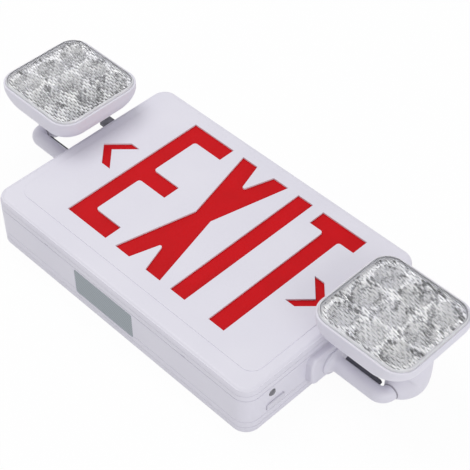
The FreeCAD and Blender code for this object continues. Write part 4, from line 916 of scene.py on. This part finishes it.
    def profile(self, low: float, high: float) -> list[Point2]:
        """Inset and height of each ring, from the flat top round to the underside.

        Args:
            low: Height of the foot of the walls, in millimetres.
            high: Height of the top.

        Returns:
            The rings in order.
        """
        rings = []
        for step in range(self.edge_steps + 1):
            turn = math.pi / 2.0 * step / self.edge_steps
            rings.append((self.edge_radius * (1.0 - math.sin(turn)),
                          high - self.edge_radius * (1.0 - math.cos(turn))))
        return rings + [(0.0, low), (self.wall, low), (self.wall, high - self.thickness)]

    def blank(self, low: Vector, high: Vector) -> bpy.types.Mesh:
        """Closed cap with a fine underside and an attribute that marks where pillows go.

        Args:
            low: Lowest corner of the CAD lens, in metres.
            high: Its highest corner.

        Returns:
            The mesh in place.
        """
        centre = (low + high) / 2.0
        a, b = (high.x - low.x) / 2.0 / MM, (high.y - low.y) / 2.0 / MM
        body = bmesh.new()
        optic = body.verts.layers.float.new("optic")
        window = body.verts.layers.float.new("window")

        def vertex(row: int, column: int, inset: float, z: float) -> bmesh.types.BMVert:
            """Make one grid point.

            Args:
                row: Row of the grid.
                column: Column of the grid.
                inset: How far the outline is drawn in, in millimetres.
                z: Height in millimetres.

            Returns:
                The new vertex.
            """
            x, y = self.spot(row, column, a, b, inset)
            return body.verts.new((centre.x + x * MM, centre.y + y * MM, z * MM))

        rim = [(0, c) for c in range(self.columns)]
        rim += [(r, self.columns) for r in range(self.rows)]
        rim += [(self.rows, c) for c in range(self.columns, 0, -1)]
        rim += [(r, 0) for r in range(self.rows, 0, -1)]
        rings = [[vertex(row, column, inset, z) for row, column in rim]
                 for inset, z in self.profile(low.z / MM, high.z / MM)]
        body.faces.new(rings[0])
        for vert in rings[0]:
            vert[window] = 1.0
        for outer, inner in zip(rings, rings[1:]):
            for index in range(len(rim)):
                after = (index + 1) % len(rim)
                body.faces.new((outer[index], inner[index], inner[after], outer[after]))
        edge = dict(zip(rim, rings[-1]))
        sheet = []
        for row in range(self.rows + 1):
            line = []
            for column in range(self.columns + 1):
                vert = edge.get((row, column)) or vertex(row, column, self.wall,
                                                         high.z / MM - self.thickness)
                x, y = (vert.co.x - centre.x) / MM, (vert.co.y - centre.y) / MM
                half = abs(self.spot(row, 0, a, b, self.wall)[0])
                reach = min(half - abs(x), b - self.wall - abs(y))
                vert[optic] = min(1.0, max(0.0, (reach - self.border) / self.rise))
                vert[window] = float(reach > self.window_start * self.border)
                line.append(vert)
            sheet.append(line)
        for row in range(self.rows):
            for column in range(self.columns):
                body.faces.new((sheet[row][column], sheet[row + 1][column],
                                sheet[row + 1][column + 1], sheet[row][column + 1]))
        bmesh.ops.recalc_face_normals(body, faces=body.faces)
        return mesh_from("lens_blank", body)

    def build(self) -> bpy.types.Object:
        """Press the pillows, then stand for the CAD lens.

        Returns:
            The finished piece, riding on its lamp.
        """
        node = "lamp_lens_" + self.side.suffix
        low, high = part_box(node)
        holder = new_object("lens_blank", self.blank(low, high))
        tree = self.tree()
        pressed = holder.modifiers.new("pillows", "NODES")
        pressed.node_group = tree
        values = {"Pillow Length": self.pillow_length * MM, "Pillow Width": self.pillow_width * MM,
                  "Pillow Depth": self.pillow_depth * MM,
                  "Pillow Turn": math.radians(self.pillow_turn),
                  "Centre": (low + high) / 2.0,
                  "Border Material": self.rack.material(self.rack.frosted),
                  "Window Material": self.rack.of_slot(Slot.CLEAR_LENS)}
        for socket in tree.interface.items_tree:
            if socket.in_out == "INPUT" and socket.name in values:
                pressed[socket.identifier] = values[socket.name]
        mesh = evaluated(holder, node + "_optics")
        soften(mesh, self.crease)
        piece = new_object("lens_optics_" + self.side.suffix, mesh)
        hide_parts(node)
        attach(piece, "lamp_" + self.side.suffix)
        return piece


# ---------------------------------------------------------------- studio
@dataclass(frozen=True)
class SoftBox:
    """A square soft box."""

    name: str
    place: tuple[float, float, float]
    size: float                 # metres
    power: float                # watts


@dataclass
class Studio:
    """Pale floor, soft light and the camera."""

    camera_place: tuple[float, float, float] = (0.5960, -0.5424, 0.8933)
    camera_aim: tuple[float, float, float] = (0.02036, 0.02022, 0.0400)
    camera_roll: float = -0.476
    focal_length: float = 104.75
    sensor_width: float = 36.0
    floor_size: float = 6.0
    floor_gap: float = 0.0004
    floor_paint: str = "#F5F5F7"
    shadow_share: float = 0.05
    white: str = "#FFFFFF"
    sky_level: float = 0.62     # strength of the surroundings as light; to the eye it is 1
    aim: tuple[float, float, float] = (0.0, 0.0, 0.03)              # where the boxes point
    boxes: tuple[SoftBox, ...] = (SoftBox("key_box", (-0.9, 0.1, 1.9), 1.2, 14.0),
                                  SoftBox("fill_box", (1.8, -0.4, 0.9), 1.2, 9.0))

    def white_to_view(self, tree: bpy.types.NodeTree) -> bpy.types.NodeSocket:
        """1 for rays from the camera, from metal and through glass, else 0.

        Args:
            tree: Tree that gets the nodes.

        Returns:
            The socket that gives the value.
        """
        rays = add_node(tree, "ShaderNodeLightPath")
        seen = add_node(tree, "ShaderNodeMath",
                        {0: rays.outputs["Is Camera Ray"], 1: rays.outputs["Is Glossy Ray"]},
                        operation="MAXIMUM")
        both = add_node(tree, "ShaderNodeMath",
                        {0: seen.outputs["Value"], 1: rays.outputs["Is Transmission Ray"]},
                        operation="MAXIMUM")
        return both.outputs["Value"]

    def floor(self) -> None:
        """Pale floor just under the back plate; it keeps a faint shadow."""
        half = self.floor_size / 2.0
        body = bmesh.new()
        bmesh.ops.create_grid(body, x_segments=1, y_segments=1, size=half)
        bmesh.ops.translate(body, verts=body.verts,
                            vec=(0.0, 0.0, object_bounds()[0][2] - self.floor_gap))
        mesh = mesh_from("floor", body)
        material = bpy.data.materials.new("painted_floor")
        material.use_nodes = True
        tree = material.node_tree
        tree.nodes.clear()
        paint = add_node(tree, "ShaderNodeBsdfDiffuse", {"Color": linear(self.floor_paint)})
        glow = add_node(tree, "ShaderNodeEmission", {"Color": linear(self.white), "Strength": 1.0})
        share = add_node(tree, "ShaderNodeMath",
                         {0: self.white_to_view(tree), 1: 1.0 - self.shadow_share},
                         operation="MULTIPLY")
        mixed = add_node(tree, "ShaderNodeMixShader",
                         {0: share.outputs["Value"], 1: paint.outputs["BSDF"],
                          2: glow.outputs["Emission"]})
        add_node(tree, "ShaderNodeOutputMaterial", {"Surface": mixed.outputs["Shader"]})
        mesh.materials.append(material)
        new_object("floor", mesh)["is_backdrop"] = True

    def sky(self) -> None:
        """Even white surroundings: full white to the eye, softer as light."""
        world = bpy.data.worlds.new("white_room")
        world.use_nodes = True
        tree = world.node_tree
        tree.nodes.clear()
        level = add_node(tree, "ShaderNodeMapRange",
                         {"Value": self.white_to_view(tree), "To Min": self.sky_level,
                          "To Max": 1.0})
        glow = add_node(tree, "ShaderNodeBackground",
                        {"Color": linear(self.white), "Strength": level.outputs["Result"]})
        add_node(tree, "ShaderNodeOutputWorld", {"Surface": glow.outputs["Background"]})
        bpy.context.scene.world = world

    def lights(self) -> None:
        """The soft boxes, turned to the sign."""
        for box in self.boxes:
            data = bpy.data.lights.new(box.name, "AREA")
            data.size, data.energy = box.size, box.power
            made = bpy.data.objects.new(box.name, data)
            made.location = box.place
            aim = Vector(self.aim) - Vector(box.place)
            made.rotation_euler = aim.to_track_quat("-Z", "Y").to_euler()
            bpy.context.scene.collection.objects.link(made)

    def camera(self) -> None:
        """The camera, placed in the sign's own frame."""
        data = bpy.data.cameras.new("camera")
        data.lens, data.sensor_width = self.focal_length, self.sensor_width
        data.clip_start, data.clip_end = 0.05, 20.0
        made = bpy.data.objects.new("camera", data)
        aim = Vector(self.camera_aim) - Vector(self.camera_place)
        turn = aim.to_track_quat("-Z", "Y").to_matrix().to_4x4()
        roll = Matrix.Rotation(math.radians(self.camera_roll), 4, "Z")
        made.matrix_world = Matrix.Translation(self.camera_place) @ turn @ roll
        bpy.context.scene.collection.objects.link(made)
        bpy.context.scene.camera = made

    def build(self) -> None:
        """Set up everything that isn't part of the light."""
        self.floor()
        self.sky()
        self.lights()
        self.camera()
        settings = bpy.context.scene.view_settings
        settings.view_transform = "Standard"


def main() -> None:
    """Build the studio and every sub-assembly in order, and report each piece."""
    logging.basicConfig(level=logging.INFO, format="%(name)s: %(message)s")
    Studio().build()
    rack = FinishRack()
    rack.dress_nodes()
    makers = [SignCover(rack), FoilPlate(rack)]
    makers += [LensOptics(rack, side) for side in Side]
    for maker in makers:
        piece = maker.build()
        LOG.info("built %s with %d faces", piece.name, len(piece.data.polygons))


if __name__ == "__main__":
    main()
